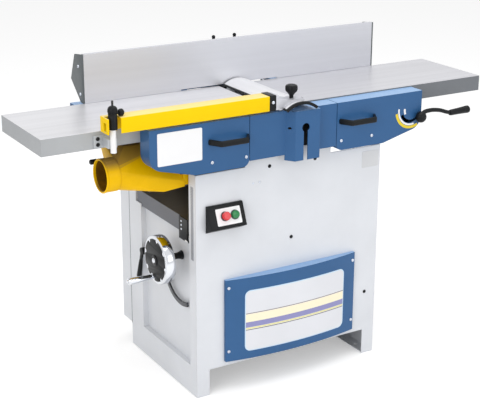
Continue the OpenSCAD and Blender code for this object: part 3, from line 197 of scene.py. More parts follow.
def capEnds(piece):
    startEdit(piece)
    bpy.ops.mesh.fill_holes(sides=0)
    bpy.ops.mesh.normals_make_consistent(inside=False)
    endEdit()


# a bent round rod along a list of points
def bentRod(name, path, radius, ends):
    clearSelection()
    line = bpy.data.curves.new(name, "CURVE")
    line.dimensions = "3D"
    line.bevel_depth = radius / 1000.0
    line.bevel_resolution = 5
    line.resolution_u = 10
    line.use_fill_caps = True
    run = line.splines.new("BEZIER")
    run.bezier_points.add(len(path) - 1)
    for i, place in enumerate(path):
        point = run.bezier_points[i]
        point.co = mm(*place)
        point.handle_left_type = point.handle_right_type = "AUTO"
        point.radius = ends[0] + (ends[1] - ends[0]) * i / (len(path) - 1)
    piece = bpy.data.objects.new(name, line)
    bpy.context.scene.collection.objects.link(piece)
    useOnly(piece)
    bpy.ops.object.convert(target="MESH")
    piece = bpy.context.object
    piece.name = name
    settle(piece)
    return piece


# sets a piece made flat at the origin onto a face, with its own right and up
def layOn(piece, place, right, up):
    right, up = Vector(right).normalized(), Vector(up).normalized()
    turn = Matrix((right, up, right.cross(up))).transposed().to_4x4()
    piece.matrix_world = Matrix.Translation(mm(*place)) @ turn
    settle(piece)


def copyOf(master, name):
    piece = master.copy()
    piece.data = master.data.copy()
    piece.name = name
    bpy.context.scene.collection.objects.link(piece)
    return piece


def mergedCopy(nodeName, name):
    clearSelection()
    piece = copyOf(nodes[nodeName], name)
    for key in list(piece.keys()):
        del piece[key]
    piece.parent = None
    startEdit(piece)
    bpy.ops.mesh.remove_doubles(threshold=0.00001)
    bpy.ops.mesh.dissolve_limited(angle_limit=math.radians(0.5))
    endEdit()
    return piece


def dress(piece, finish, body, smooth=35):
    piece.data.materials.clear()
    piece.data.materials.append(finishes[finish])
    useOnly(piece)
    bpy.ops.object.shade_smooth_by_angle(angle=math.radians(smooth))
    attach(piece, body)
    return piece


# a softened copy that stands in for a sharp CAD node
def softCopy(nodeName, name, width, steps, finish, body, slot, angle=40):
    piece = mergedCopy(nodeName, name)
    softenEdges(piece, width, steps, angle)
    dress(piece, finish, body)
    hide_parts(nodeName)


# where a ray from outside meets a node, and the way out of its face
def spotOn(nodeName, start, way):
    target = nodes.get(nodeName) or bpy.data.objects[nodeName]
    hit, place, normal, index = target.ray_cast(mm(*start), Vector(way))
    if not hit:
        print("no surface there:", nodeName, start)
        place = mm(*start)
    return place * 1000.0, Vector((0, 0, 0)) - Vector(way)


# helpers for shader nodes

def feed(tree, socket, value):
    if isinstance(value, bpy.types.NodeSocket):
        tree.links.new(value, socket)
    else:
        socket.default_value = value


def addNode(tree, kind, feeds=None, **settings):
    node = tree.nodes.new("ShaderNode" + kind)
    for key, value in settings.items():
        setattr(node, key, value)
    for key, value in (feeds or {}).items():
        feed(tree, node.inputs[key], value)
    return node


def calc(tree, operation, first, second=None, clamp=False):
    node = addNode(tree, "Math", {0: first}, operation=operation, use_clamp=clamp)
    if second is not None:
        feed(tree, node.inputs[1], second)
    return node.outputs[0]


def mixColour(tree, factor, first, second):
    return addNode(tree, "Mix", {0: factor, 6: first, 7: second}, data_type="RGBA").outputs[2]


def mixValue(tree, factor, first, second):
    return addNode(tree, "Mix", {0: factor, 2: first, 3: second}, data_type="FLOAT").outputs[0]


def mapValue(tree, source, low=0.0, high=1.0, fromLow=0.3, fromHigh=0.7):
    feeds = {"Value": source, "From Min": fromLow, "From Max": fromHigh, "To Min": low, "To Max": high}
    return addNode(tree, "MapRange", feeds, clamp=True).outputs["Result"]


def zPart(tree, source):
    return addNode(tree, "SeparateXYZ", {0: source}).outputs["Z"]


def linear(colour):
    return tuple(c / 12.92 if c <= 0.04045 else ((c + 0.055) / 1.055) ** 2.4 for c in colour) + (1.0,)


# from a darker share of a colour to the colour itself
def twoTone(tree, factor, colour, share):
    return mixColour(tree, factor, linear([c * share for c in colour]), linear(colour))


# what the eye, mirrors and glass see can differ from what lights the part
def mixByRay(tree, plain, seen):
    rays = addNode(tree, "LightPath").outputs
    anyRay = calc(tree, "ADD", rays["Is Camera Ray"], rays["Is Glossy Ray"], True)
    anyRay = calc(tree, "ADD", anyRay, rays["Is Transmission Ray"], True)
    return addNode(tree, "MixShader", {0: anyRay, 1: plain, 2: seen}).outputs[0]


# shader groups shared by the finishes

def newGroup(name, inputs, outputs):
    group = bpy.data.node_groups.new(name, "ShaderNodeTree")
    for label, value in inputs.items():
        kind = "NodeSocketFloat" if isinstance(value, float) else "NodeSocketVector"
        socket = group.interface.new_socket(label, in_out="INPUT", socket_type=kind)
        if value is not None:
            socket.default_value = value
    for label in outputs:
        group.interface.new_socket(label, in_out="OUTPUT", socket_type="NodeSocketFloat")
    return group, group.nodes.new("NodeGroupInput").outputs, group.nodes.new("NodeGroupOutput").inputs


def addNoise(tree, vector, scale, detail, rough=0.5):
    feeds = {"Vector": vector, "Scale": scale, "Detail": detail, "Roughness": rough}
    return addNode(tree, "TexNoise", feeds).outputs["Fac"]


# fine grain for the bump, and a slow drift for colour and gloss
def makeGrainGroup():
    inputs = {"Vector": None, "Grain Scale": 900.0, "Drift Scale": 6.0}
    group, gin, gout = newGroup("fineGrain", inputs, ("Height", "Drift"))
    feed(group, gout["Height"], addNoise(group, gin["Vector"], gin["Grain Scale"], 3.0, 0.6))
    feed(group, gout["Drift"], addNoise(group, gin["Vector"], gin["Drift Scale"], 4.0, 0.55))
    return group


# long fine scratches along one way of the piece, as a grinder leaves them
def makeGrindGroup():
    inputs = {"Vector": None, "Stretch": (3.0, 420.0, 420.0)}
    group, gin, gout = newGroup("grindMarks", inputs, ("Height", "Streak"))
    feeds = {0: gin["Vector"], 1: gin["Stretch"]}
    drawn = addNode(group, "VectorMath", feeds, operation="MULTIPLY").outputs["Vector"]
    feed(group, gout["Height"], addNoise(group, drawn, 1.0, 4.0, 0.65))
    feed(group, gout["Streak"], addNoise(group, drawn, 0.12, 2.0))
    return group


# pale chip dust that settles on faces that look up
def makeDustGroup():
    inputs = {"Vector": None, "Normal": None, "Amount": 0.2}
    group, gin, gout = newGroup("settledDust", inputs, ("Mask",))
    patch = mapValue(group, addNoise(group, gin["Vector"], 22.0, 6.0, 0.7), fromLow=0.42, fromHigh=0.75)
    cover = calc(group, "MULTIPLY", zPart(group, gin["Normal"]), patch, True)
    feed(group, gout["Mask"], calc(group, "MULTIPLY", cover, gin["Amount"], True))
    return group


grainGroup = makeGrainGroup()
grindGroup = makeGrindGroup()
dustGroup = makeDustGroup()


def grainOf(tree, place, grain, drift):
    feeds = {"Vector": place["Object"], "Grain Scale": grain, "Drift Scale": drift}
    return addNode(tree, "Group", feeds, node_tree=grainGroup).outputs


def marksOf(tree, place, stretch):
    feeds = {"Vector": place["Object"], "Stretch": stretch}
    return addNode(tree, "Group", feeds, node_tree=grindGroup).outputs


def newFinish(name):
    material = bpy.data.materials.new(name)
    material.use_nodes = True
    tree = material.node_tree
    tree.nodes.clear()
    shader = addNode(tree, "BsdfPrincipled")
    addNode(tree, "OutputMaterial", {"Surface": shader.outputs["BSDF"]})
    return material, tree, shader.inputs, addNode(tree, "TexCoord").outputs


def addRelief(tree, shader, height, bump, depth, edge=None):
    feeds = {"Height": height, "Strength": bump, "Distance": depth}
    if edge:
        feeds["Normal"] = addNode(tree, "Bevel", {"Radius": edge}, samples=4).outputs["Normal"]
    feed(tree, shader["Normal"], addNode(tree, "Bump", feeds).outputs["Normal"])


# paint, plastic and cast surfaces: drifted colour, grain bump, rounded edges, a little dust, and light or shade
# painted onto the faces that look up
def coatFinish(name, colour, rough, grain=900.0, bump=0.15, depth=0.0003, drift=0.94, metal=0.0, coat=0.0,
               dust=0.0, edge=0.0015, driftScale=6.0, roughSpread=0.06, gloss=0.5, paintedTopLightShade=None):
    material, tree, shader, place = newFinish(name)
    texture = grainOf(tree, place, grain, driftScale)
    tint = twoTone(tree, mapValue(tree, texture["Drift"]), colour, drift)
    if dust:
        feeds = {"Vector": place["Object"], "Normal": place["Normal"], "Amount": dust}
        film = addNode(tree, "Group", feeds, node_tree=dustGroup)
        tint = mixColour(tree, film.outputs["Mask"], tint, linear((0.80, 0.74, 0.64)))
    if paintedTopLightShade:
        # painted light and shade: faces that look up lean towards the given tone by how far up they face, a painted
        # highlight with a pale tone and painted shade with a dark one
        paintedTone, amount, low, high = paintedTopLightShade
        share = mapValue(tree, zPart(tree, place["Normal"]), 0.0, amount, low, high)
        tint = mixColour(tree, share, tint, linear(paintedTone))
    feed(tree, shader["Base Color"], tint)
    feed(tree, shader["Specular IOR Level"], gloss)
    feed(tree, shader["Roughness"], mapValue(tree, texture["Drift"], rough + roughSpread, rough - roughSpread))
    feed(tree, shader["Metallic"], metal)
    addRelief(tree, shader, texture["Height"], bump, depth, edge)
    if coat:
        feed(tree, shader["Coat Weight"], coat)
        feed(tree, shader["Coat Roughness"], 0.12)
    return material


# metal with drawn or ground streaks along one way
def streakFinish(name, colour, rough, stretch, bump=0.08, metal=1.0, spread=0.08, tint=0.9):
    material, tree, shader, place = newFinish(name)
    marks = marksOf(tree, place, stretch)
    feed(tree, shader["Base Color"], twoTone(tree, mapValue(tree, marks["Streak"]), colour, tint))
    feed(tree, shader["Roughness"], mapValue(tree, marks["Height"], rough - spread, rough + spread))
    feed(tree, shader["Metallic"], metal)
    addRelief(tree, shader, marks["Height"], bump, 0.0002, 0.0012)
    return material


# the ground top of a cast table above its rougher grey sides
def tableFinish(name, topZ, topColour, sideColour, reach=0.0006):
    material, tree, shader, place = newFinish(name)
    onTop = calc(tree, "GREATER_THAN", zPart(tree, place["Object"]), topZ - reach)
    marks = marksOf(tree, place, (5.0, 380.0, 380.0))
    texture = grainOf(tree, place, 420.0, 3.0)
    top = twoTone(tree, mapValue(tree, marks["Streak"]), topColour, 0.95)
    cloud = mapValue(tree, texture["Drift"], 0.0, 0.35)
    top = mixColour(tree, cloud, top, linear([c * 0.9 for c in topColour]))
    side = twoTone(tree, mapValue(tree, texture["Drift"]), sideColour, 0.9)
    feed(tree, shader["Base Color"], mixColour(tree, onTop, side, top))
    castRough = mapValue(tree, texture["Height"], 0.5, 0.66)
    groundRough = mapValue(tree, marks["Height"], 0.3, 0.44)
    feed(tree, shader["Roughness"], mixValue(tree, onTop, castRough, groundRough))
    feed(tree, shader["Metallic"], calc(tree, "MULTIPLY", onTop, 0.35, True))
    addRelief(tree, shader, mixValue(tree, onTop, texture["Height"], marks["Height"]), 0.12, 0.0003, 0.0015)
    return material


# a smooth printed surface, with its height for the marks that go over its ground
def printFinish(name, ground, share, driftScale, rough):
    material, tree, shader, place = newFinish(name)
    texture = grainOf(tree, place, 1400.0, driftScale)
    feed(tree, shader["Roughness"], mapValue(tree, texture["Drift"], rough + 0.05, rough - 0.05))
    addRelief(tree, shader, texture["Height"], 0.05, 0.0002)
    tint = twoTone(tree, mapValue(tree, texture["Drift"]), ground, share)
    return material, tree, shader, zPart(tree, place["Object"]), tint


# bands of colour set by height
def bandFinish(name, ground, bands, rough=0.38):
    material, tree, shader, height, tint = printFinish(name, ground, 0.97, 5.0, rough)
    for low, high, colour in bands:
        above = calc(tree, "GREATER_THAN", height, low / 1000.0)
        below = calc(tree, "LESS_THAN", height, high / 1000.0)
        tint = mixColour(tree, calc(tree, "MULTIPLY", above, below), tint, linear(colour))
    feed(tree, shader["Base Color"], tint)
    return material


# a rule strip with plain marks every few millimetres
def ruleFinish(name, ground, mark, pitch=5.0, share=0.22):
    material, tree, shader, height, tint = printFinish(name, ground, 0.95, 8.0, 0.37)
    part = calc(tree, "FRACT", calc(tree, "MULTIPLY", height, 1000.0 / pitch))
    feed(tree, shader["Base Color"], mixColour(tree, calc(tree, "LESS_THAN", part, share), tint, linear(mark)))
    return material


stripes = [(258, 260.5, (0.50, 0.47, 0.47)), (230, 257, (0.99, 0.95, 0.83)), (212, 230, (0.56, 0.56, 0.75)),
           (206.5, 211, (0.93, 0.90, 0.60)), (202.5, 205, (0.42, 0.40, 0.42))]
finishes = {
    "badgeStripe": bandFinish("badgeStripe", (0.895, 0.90, 0.92), stripes),
    "scaleTicks": ruleFinish("scaleTicks", (0.66, 0.67, 0.70), (0.35, 0.36, 0.38)),
    "postTube": bandFinish("postTube", (0.94, 0.94, 0.94), [(961, 1100, (0.06, 0.06, 0.07))], 0.4),
    # painted light and shade: the outfeed table's sides and top are lighter and the infeed's darker, one cast iron
    # lit and shaded as light falls on each
    "outfeedIron": tableFinish("outfeedIron", 0.900, (0.865, 0.865, 0.88), (0.675, 0.685, 0.695)),
    "infeedIron": tableFinish("infeedIron", 0.900, (0.81, 0.81, 0.83), (0.465, 0.48, 0.50)),
    # the bed's top is darker than its sides as painted shade, for it lies in shadow under the tables
    "bedIron": tableFinish("bedIron", 0.575, (0.33, 0.325, 0.315), (0.435, 0.445, 0.475)),
}

printed = dict(grain=1500.0, bump=0.05, edge=0.0004)
glossyCap = dict(grain=1500.0, bump=0.06, coat=0.3)
coats = {
    "paleBorder": ((0.80, 0.90, 0.97), 0.4, dict(printed, drift=0.97)),
    "plateSilver": ((0.84, 0.845, 0.855), 0.36, dict(printed, drift=0.96)),
    "plateWhite": ((0.955, 0.955, 0.96), 0.4, dict(printed, drift=0.98)),
    "lineYellow": ((0.95, 0.84, 0.16), 0.4, dict(printed, drift=0.93)),
    "stopRed": ((0.86, 0.13, 0.17), 0.3, dict(glossyCap, drift=0.92)),
    "startGreen": ((0.05, 0.52, 0.26), 0.3, dict(glossyCap, drift=0.9)),
    "bracketGrey": ((0.74, 0.755, 0.77), 0.4, dict(grain=800.0, bump=0.1, drift=0.92, metal=0.25)),
    # dark brown for the painted shade inside the outlet's bore
    "outletBoreShade": ((0.52, 0.36, 0.07), 0.6, dict(grain=300.0, bump=0.2, drift=0.75, driftScale=25.0, gloss=0.1)),
    # near-black for the side plates inside the frame: painted shade of the shadowed interior; the dust on them is
    # real
    "plateDark": ((0.15, 0.147, 0.142), 0.6, dict(grain=300.0, bump=0.3, drift=0.8, gloss=0.2, dust=0.15)),
    "cabinetWhite": ((0.875, 0.885, 0.905), 0.42, dict(grain=1100.0, bump=0.12, drift=0.97)),
    # the beams' top faces get a pale blue painted reflection of the bright light above
    "beamBlue": ((0.175, 0.365, 0.560), 0.42, dict(grain=1000.0, bump=0.14, drift=0.95, coat=0.1, gloss=0.3,
                                                   paintedTopLightShade=((0.62, 0.76, 0.92), 0.75, 0.6, 0.95))),
    "shadowGrey": ((0.34, 0.35, 0.37), 0.55, dict(grain=500.0, drift=0.85, dust=0.25)),
    "mouldedBlack": ((0.065, 0.075, 0.085), 0.42, dict(grain=1400.0, bump=0.2, drift=0.8, gloss=0.2)),
    "blackSteel": ((0.085, 0.088, 0.095), 0.36, dict(grain=700.0, drift=0.8, metal=0.2, gloss=0.25)),
    "endPlateGrey": ((0.36, 0.385, 0.395), 0.48, dict(grain=1200.0, bump=0.2, drift=0.9)),
    "castGrey": ((0.36, 0.37, 0.38), 0.62, dict(grain=260.0, bump=0.35, depth=0.0006, drift=0.82)),
    "beltRubber": ((0.05, 0.05, 0.05), 0.75, dict(grain=400.0, bump=0.3, drift=0.8)),
    # the guard's top faces get a pale painted highlight
    "guardYellow": ((0.985, 0.82, 0.0), 0.46, dict(grain=1000.0, bump=0.1, drift=0.97, gloss=0.12,
                                                   paintedTopLightShade=((0.95, 0.90, 0.70), 0.6, 0.6, 0.95))),
    # the hood's upward slopes get a brown painted shade, as they lie under the tables and face their underside
    "hoodYellow": ((0.975, 0.765, 0.0), 0.42, dict(grain=350.0, bump=0.12, drift=0.93, driftScale=9.0, gloss=0.12,
                                                   paintedTopLightShade=((0.55, 0.44, 0.27), 0.8, 0.45, 0.85))),
}
for name, (colour, rough, others) in coats.items():
    finishes[name] = coatFinish(name, colour, rough, **others)

evenly = (200.0, 200.0, 200.0)
metals = {
    "chromeBright": ((0.86, 0.87, 0.89), 0.12, (40.0, 40.0, 40.0), dict(bump=0.03, spread=0.04, tint=0.94)),
    "zincScrew": ((0.86, 0.88, 0.92), 0.28, (300.0, 300.0, 300.0), dict(bump=0.1, spread=0.06)),
    "satinAlu": ((0.80, 0.805, 0.83), 0.40, (2.5, 500.0, 500.0),
                 dict(bump=0.04, metal=0.55, spread=0.04, tint=0.98)),
    "bridgeAlu": ((0.945, 0.945, 0.95), 0.36, (500.0, 4.0, 500.0),
                  dict(bump=0.06, metal=0.6, spread=0.05, tint=0.96)),
    "groundSteel": ((0.70, 0.71, 0.73), 0.34, (300.0, 5.0, 300.0), dict(bump=0.1)),
    "leverSteel": ((0.36, 0.365, 0.38), 0.3, evenly, dict(bump=0.06, metal=0.9)),
    "oiledSteel": ((0.26, 0.26, 0.28), 0.4, evenly, dict(bump=0.12, metal=0.8)),
}
for name, (colour, rough, stretch, others) in metals.items():
    finishes[name] = streakFinish(name, colour, rough, stretch, **others)

nodeFinish = {
    "cabinetWhite": ["cabinet_front", "cabinet_rear", "cabinet_left", "cabinet_right", "rear_cover"],
    "beamBlue": ["badge_panel", "left_beam", "right_beam", "left_rear_beam", "right_rear_beam", "centre_cover"],
    "shadowGrey": ["base_tray", "motor", "hinge_brackets", "fence_bracket"],
    "mouldedBlack": ["switch_box", "handwheel_disc", "feed_lever", "left_handle", "right_handle", "fence_levers",
                     "guard_sleeve", "guard_post_knob", "guard_knob"],
    "blackSteel": ["handwheel_shaft", "shaft_flange", "table_pointer", "height_lever"],
    "endPlateGrey": ["fence_ends"],
    "castGrey": ["motor_pulley", "column_sleeve", "gearbox"],
    "plateDark": ["front_side_plate", "rear_side_plate"],
    "beltRubber": ["drive_belt"],
    "guardYellow": ["guard_arm"],
    "hoodYellow": ["dust_hood"],
    "stopRed": ["stop_button"],
    "startGreen": ["start_button"],
    "chromeBright": ["handwheel_rim", "crank_grip"],
    "leverSteel": ["lock_lever"],
    "satinAlu": ["fence_plate", "guard_carrier"],
    "postTube": ["guard_post"],
    "bridgeAlu": ["guard_bridge"],
    "groundSteel": ["cutterblock", "knives", "cutter_bearings", "infeed_roller", "outfeed_roller", "finger_shaft",
                    "lift_column", "lift_screw", "fence_slide"],
    "oiledSteel": ["feed_chain", "kickback_fingers"],
    "outfeedIron": ["left_table"],
    "infeedIron": ["right_table"],
    "bedIron": ["thickness_table"],
}
for finish, names in nodeFinish.items():
    for n in names:
        nodes[n].data.materials.clear()
        nodes[n].data.materials.append(finishes[finish])
print("finishes:", len(finishes))


# camera, floor and light

view = {"place": (-1.919, -3.188, 1.808), "yaw": 30.7, "pitch": 18.23, "roll": 0.21, "lens": 90.0,
        "shift": (-0.0017, -0.0515)}
yaw, pitch, roll = (math.radians(view[k]) for k in ("yaw", "pitch", "roll"))
look = Vector((math.sin(yaw) * math.cos(pitch), math.cos(yaw) * math.cos(pitch), -math.sin(pitch)))
flatSide = Vector((math.cos(yaw), -math.sin(yaw), 0))
flatUp = flatSide.cross(look)
side = flatSide * math.cos(roll) + flatUp * math.sin(roll)
upward = flatUp * math.cos(roll) - flatSide * math.sin(roll)
lensData = bpy.data.cameras.new("studioCamera")
lensData.lens = view["lens"]
lensData.sensor_width = 36.0
lensData.sensor_fit = "HORIZONTAL"
lensData.shift_x, lensData.shift_y = view["shift"]
camera = bpy.data.objects.new("studioCamera", lensData)
camera.matrix_world = Matrix((side, upward, -look)).transposed().to_4x4()
camera.location = view["place"]
bpy.context.scene.collection.objects.link(camera)
bpy.context.scene.camera = camera
bpy.context.scene.view_settings.view_transform = "Standard"

# the floor reads white to the eye and to metal, and keeps the shadow
clearSelection()
bpy.ops.mesh.primitive_plane_add(size=24.0, location=(0, 0, -0.001))
floor = bpy.context.object
floor.name = "studioFloor"
floorFinish, tree, shader, place = newFinish("studioFloor")
feed(tree, shader["Base Color"], (0.90, 0.90, 0.90, 1))
feed(tree, shader["Roughness"], 0.9)
feed(tree, shader["Specular IOR Level"], 0.0)
matte = next(n for n in tree.nodes if n.type == "BSDF_PRINCIPLED").outputs["BSDF"]
glow = addNode(tree, "Emission", {"Color": (1, 1, 1, 1), "Strength": 0.34}).outputs[0]
lit = addNode(tree, "AddShader", {0: matte, 1: glow}).outputs[0]
out = next(n for n in tree.nodes if n.type == "OUTPUT_MATERIAL")
feed(tree, out.inputs["Surface"], mixByRay(tree, matte, lit))
floor.data.materials.append(floorFinish)

world = bpy.data.worlds.new("studioLight")
bpy.context.scene.world = world
world.use_nodes = True
tree = world.node_tree
tree.nodes.clear()
soft, white = (addNode(tree, "Background", {"Color": (1, 1, 1, 1), "Strength": s}).outputs[0] for s in (0.62, 1.0))
addNode(tree, "OutputWorld", {"Surface": mixByRay(tree, soft, white)})


def addLamp(name, place, target, size, power):
    data = bpy.data.lights.new(name, "AREA")
    data.shape = "RECTANGLE"
    data.size, data.size_y = size
    data.energy = power
    lamp = bpy.data.objects.new(name, data)
    lamp.location = place
    lamp.rotation_euler = (Vector(target) - Vector(place)).to_track_quat("-Z", "Y").to_euler()
    bpy.context.scene.collection.objects.link(lamp)


addLamp("topSoftbox", (0.2, -0.6, 4.2), (0, 0, 0.6), (4.0, 3.0), 75)
addLamp("leftSoftbox", (-3.6, -2.2, 2.4), (0, 0, 0.7), (2.4, 2.4), 48)
addLamp("frontFill", (1.4, -4.4, 1.9), (0, 0, 0.6), (2.6, 2.0), 34)
print("camera and light set")


# screws and bolts: each kind is turned once and copied to its places, a little below the face
headSink = 0.4


def makeHead(name, radius, height, socket, depth):
    profile = [(0, height), (radius * 0.62, height), (radius * 0.88, height * 0.82), (radius, height * 0.5),
               (radius, -headSink), (0, -headSink)]
    head = turnedPiece(name, profile, (0, 0, 0), toTop, steps=24)
    carve(head, addDrum("socket", socket, (0, 0, height - depth), (0, 0, height + 2), 6))
    return head


def makeHexBolt(name, radius, height, washer):
    hexagon = addDrum(name, radius, (0, 0, washer * 0.4), (0, 0, height), 6)
    softenEdges(hexagon, radius * 0.09, 2)
    profile = [(0, washer), (radius * 1.25, washer), (radius * 1.4, washer * 0.6), (radius * 1.4, -headSink),
               (0, -headSink)]
    return joinAll([hexagon, turnedPiece("washer", profile, (0, 0, 0), toTop, steps=28)], name)


screwKinds = {
    "panHead": makeHead("panHead", radius=5.2, height=3.0, socket=2.2, depth=1.8),
    "smallHead": makeHead("smallHead", radius=3.4, height=2.0, socket=1.5, depth=1.2),
    "hexBolt": makeHexBolt("hexBolt", radius=6.5, height=5.5, washer=1.4),
    "smallHex": makeHexBolt("smallHex", radius=4.2, height=3.6, washer=1.0),
}


def setScrews(kind, name, body, spots, finish="zincScrew"):
    copies = []
    for place, way in spots:
        piece = copyOf(screwKinds[kind], name)
        turn = Vector(way).to_track_quat("Z", "Y").to_matrix().to_4x4()
        piece.matrix_world = Matrix.Translation(mm(*place)) @ turn
        settle(piece)
        copies.append(piece)
    dress(joinAll(copies, name), finish, body)


def frontSpots(nodeName, spots):
    return [spotOn(nodeName, (x, -600, z), toBack) for x, z in spots]


setScrews("panHead", "leftBeamScrews", "outfeed_wing", frontSpots("left_beam", [(-279, 773), (-163, 773)]))
setScrews("panHead", "rightBeamScrews", "infeed_wing", frontSpots("right_beam", [(181, 773.5), (298, 774)]))
panelSpots = [(-63, 721), (104, 720), (20, 476), (314, 226)]
setScrews("smallHex", "frontPanelBolts", "frame", frontSpots("cabinet_front", panelSpots), "blackSteel")
setScrews("smallHead", "frontPanelScrews", "frame", frontSpots("cabinet_front", [(-121, 675), (-98, 676)]))
badgeSpots = [(-213, 354), (253, 354), (-213, 140), (253, 143)]
setScrews("panHead", "badgeScrews", "frame", frontSpots("badge_panel", badgeSpots))
for name, body, beam, x in (("leftBeamFootBolt", "outfeed_wing", "left_beam", -367),
                            ("rightBeamFootBolt", "infeed_wing", "right_beam", 379)):
    setScrews("hexBolt", name, body, [spotOn(beam, (x, -236, 600), toTop)], "blackSteel")
print("front screws set")


# bare plates on the left beam and the cabinet
def barePlate(name, low, high, corner, rim, finish, body):
    plate = addBlock(name, low, high)
    roundCorners(plate, toFront, corner)
    sinkField(plate, toFront, rim, 0.3)
    dress(plate, finish, body)


barePlate("beamLabelPlate", (-457, -261.9, 786), (-312, -260.6, 884), corner=4, rim=2.5, finish="plateWhite",
          body="outfeed_wing")
barePlate("ratingPlate", (285, -233.8, 660), (350, -232.6, 714), corner=3, rim=2, finish="plateSilver",
          body="frame")

# the bowed badge field: cut from the panel's own curve so that it follows it
badgeField = {"low": Vector((-157, -320, 134)), "high": Vector((212, -225, 334)), "corner": 16, "border": 3}


def bowedPlate(name, grow, proud, finish):
    plate = mergedCopy("badge_panel", name)
    startEdit(plate)
    bpy.ops.transform.translate(value=mm(0, -proud, 0))
    endEdit()
    margin = Vector((grow, 0, grow))
    mask = addBlock("badgeMask", badgeField["low"] - margin, badgeField["high"] + margin)
    roundCorners(mask, toFront, badgeField["corner"] + grow, 8)
    carve(plate, mask, "INTERSECT")
    dress(plate, finish, "frame")


bowedPlate("badgeBorder", grow=badgeField["border"], proud=0.6, finish="paleBorder")
bowedPlate("badgeStripes", grow=0, proud=1.1, finish="badgeStripe")
print("plates set")

# switch plate and the rings about its buttons, on the leaning face
switchFace = {"place": Vector((-224.75, -255, 595)), "lean": math.atan(28 / 68), "half": (42, 26),
              "shift": (5.6, -0.6), "buttons": (-7.25, 26.75), "up": 0.5, "hole": 12.6}
faceUp = Vector((0, math.sin(switchFace["lean"]), math.cos(switchFace["lean"])))
faceOut = Vector(toRight).cross(faceUp)


def onSwitch(right, up):
    return switchFace["place"] + Vector((right, 0, 0)) + faceUp * up


(w, h), (right, rise), hole, up = (switchFace[k] for k in ("half", "shift", "hole", "up"))
switchPlate = addBlock("switchPlate", (-w, -h, -0.4), (w, h, 0.9))
roundCorners(switchPlate, toTop, 3)
sinkField(switchPlate, toTop, 1.5, 0.2)
for s in switchFace["buttons"]:
    carve(switchPlate, addDrum("buttonHole", hole, (s - right, up - rise, -10), (s - right, up - rise, 10), 40))
layOn(switchPlate, onSwitch(right, rise), toRight, faceUp)
dress(switchPlate, "plateWhite", "frame")
ringProfile = [(hole, -0.4), (15.2, -0.4), (15.0, 1.8), (14.0, 2.6), (hole, 2.6), (hole, -0.4)]
rings = [turnedPiece("buttonRing", ringProfile, onSwitch(s, up), faceOut) for s in switchFace["buttons"]]
dress(joinAll(rings, "buttonRings"), "endPlateGrey", "frame")
stopCap = turnedPiece("stopCap", [(0, -6), (11.8, -6), (11.8, 7), (13, 8.5), (13.5, 11.5), (12.8, 14.6),
                                  (10.8, 15.7), (9.8, 15), (0, 15)],
                      onSwitch(switchFace["buttons"][0], up), faceOut, steps=44)
dress(stopCap, "stopRed", "stop_button")
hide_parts("stop_button")
softCopy("start_button", "startCap", 1.6, 3, "startGreen", "start_button", "green_plastic", 50)
softCopy("switch_box", "switchCase", 2.2, 3, "mouldedBlack", "frame", "black_plastic", 50)
print("switch set")

# height scale of the infeed table: painted rings about the lever's pivot, each by radii and angles
heightScale = {"centre": (452, -261, 838),
               "rings": [(22, 29, 169, 210, "plateWhite"), (45.8, 51.6, 172, 285, "plateWhite"),
                         (53, 62, 188, 298, "lineYellow")]}
for i, (inner, outer, fromAngle, toAngle, finish) in enumerate(heightScale["rings"]):
    a = math.radians(fromAngle)
    profile = [(inner, -0.4), (outer, -0.4), (outer, 0.5), (inner, 0.5), (inner, -0.4)]
    band = turnedPiece("heightScale%d" % i, profile, heightScale["centre"], toFront, steps=28,
                       sweep=toAngle - fromAngle, start=(math.cos(a), 0, math.sin(a)))
    capEnds(band)
    dress(band, finish, "infeed_wing")
slotBack = addBlock("leverSlotBack", (404, -214, 781), (503, -211, 862))
roundCorners(slotBack, toFront, 10)
dress(slotBack, "mouldedBlack", "infeed_wing")

# height lever: ball hub, bent rod and a tapered grip in place of the plain one
leverShape = {"pivot": Vector((452, 0, 835)), "root": Vector((482, -277, 812.8)), "tip": Vector((603, -277, 811.8)),
              "end": Vector((679, -277, 814.5)),
              "bends": [(492, 826.5), (513, 830.5), (538, 829.3), (562, 824.5), (584, 817)]}
pivot, root, tip = (leverShape[k] for k in ("pivot", "root", "tip"))
hub = turnedPiece("leverHub", [(0, 15), (7, 14.3), (13, 11.2), (17, 6), (18.5, 0), (17.6, -6), (14.5, -10.5),
                               (8.5, -13.5), (5.2, -14), (5, -50), (0, -50)], root, toFront, steps=36)
path = [root + Vector((2, 0, 4))] + [(x, root.y, z) for x, z in leverShape["bends"]] + [tip]
rod = bentRod("leverRod", path, 6.6, (1.1, 0.96))
grip = turnedPiece("leverGrip", [(0, -4), (8.2, -4), (9.4, -1), (9.8, 4), (10.4, 30), (11.6, 54), (11.3, 55.5),
                                 (11.3, 57), (11.8, 58.5), (12.4, 69), (11.8, 73.5), (8.5, 76.5), (0, 77.5)],
                   tip, leverShape["end"] - tip, steps=32)
pin = addDrum("leverPin", 6.6, pivot + Vector((0, -225, 0)), pivot + Vector((0, -205, 0)))
softenEdges(pin, 0.8, 2)
throw = Vector((root.x - pivot.x, 0, root.z - pivot.z))
crank = addBlock("leverCrank", (-6, -5.5, -3), (throw.length + 6, 5.5, 3))
roundCorners(crank, toTop, 5)
layOn(crank, pivot + Vector((0, -228, 0)), throw, Vector(toFront).cross(throw))
lever = joinAll([hub, rod, pin, crank], "heightLeverRod")
dress(lever, "mouldedBlack", "height_lever", 40)
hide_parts("height_lever")
dress(grip, "mouldedBlack", "height_lever", 40)
print("height lever set")

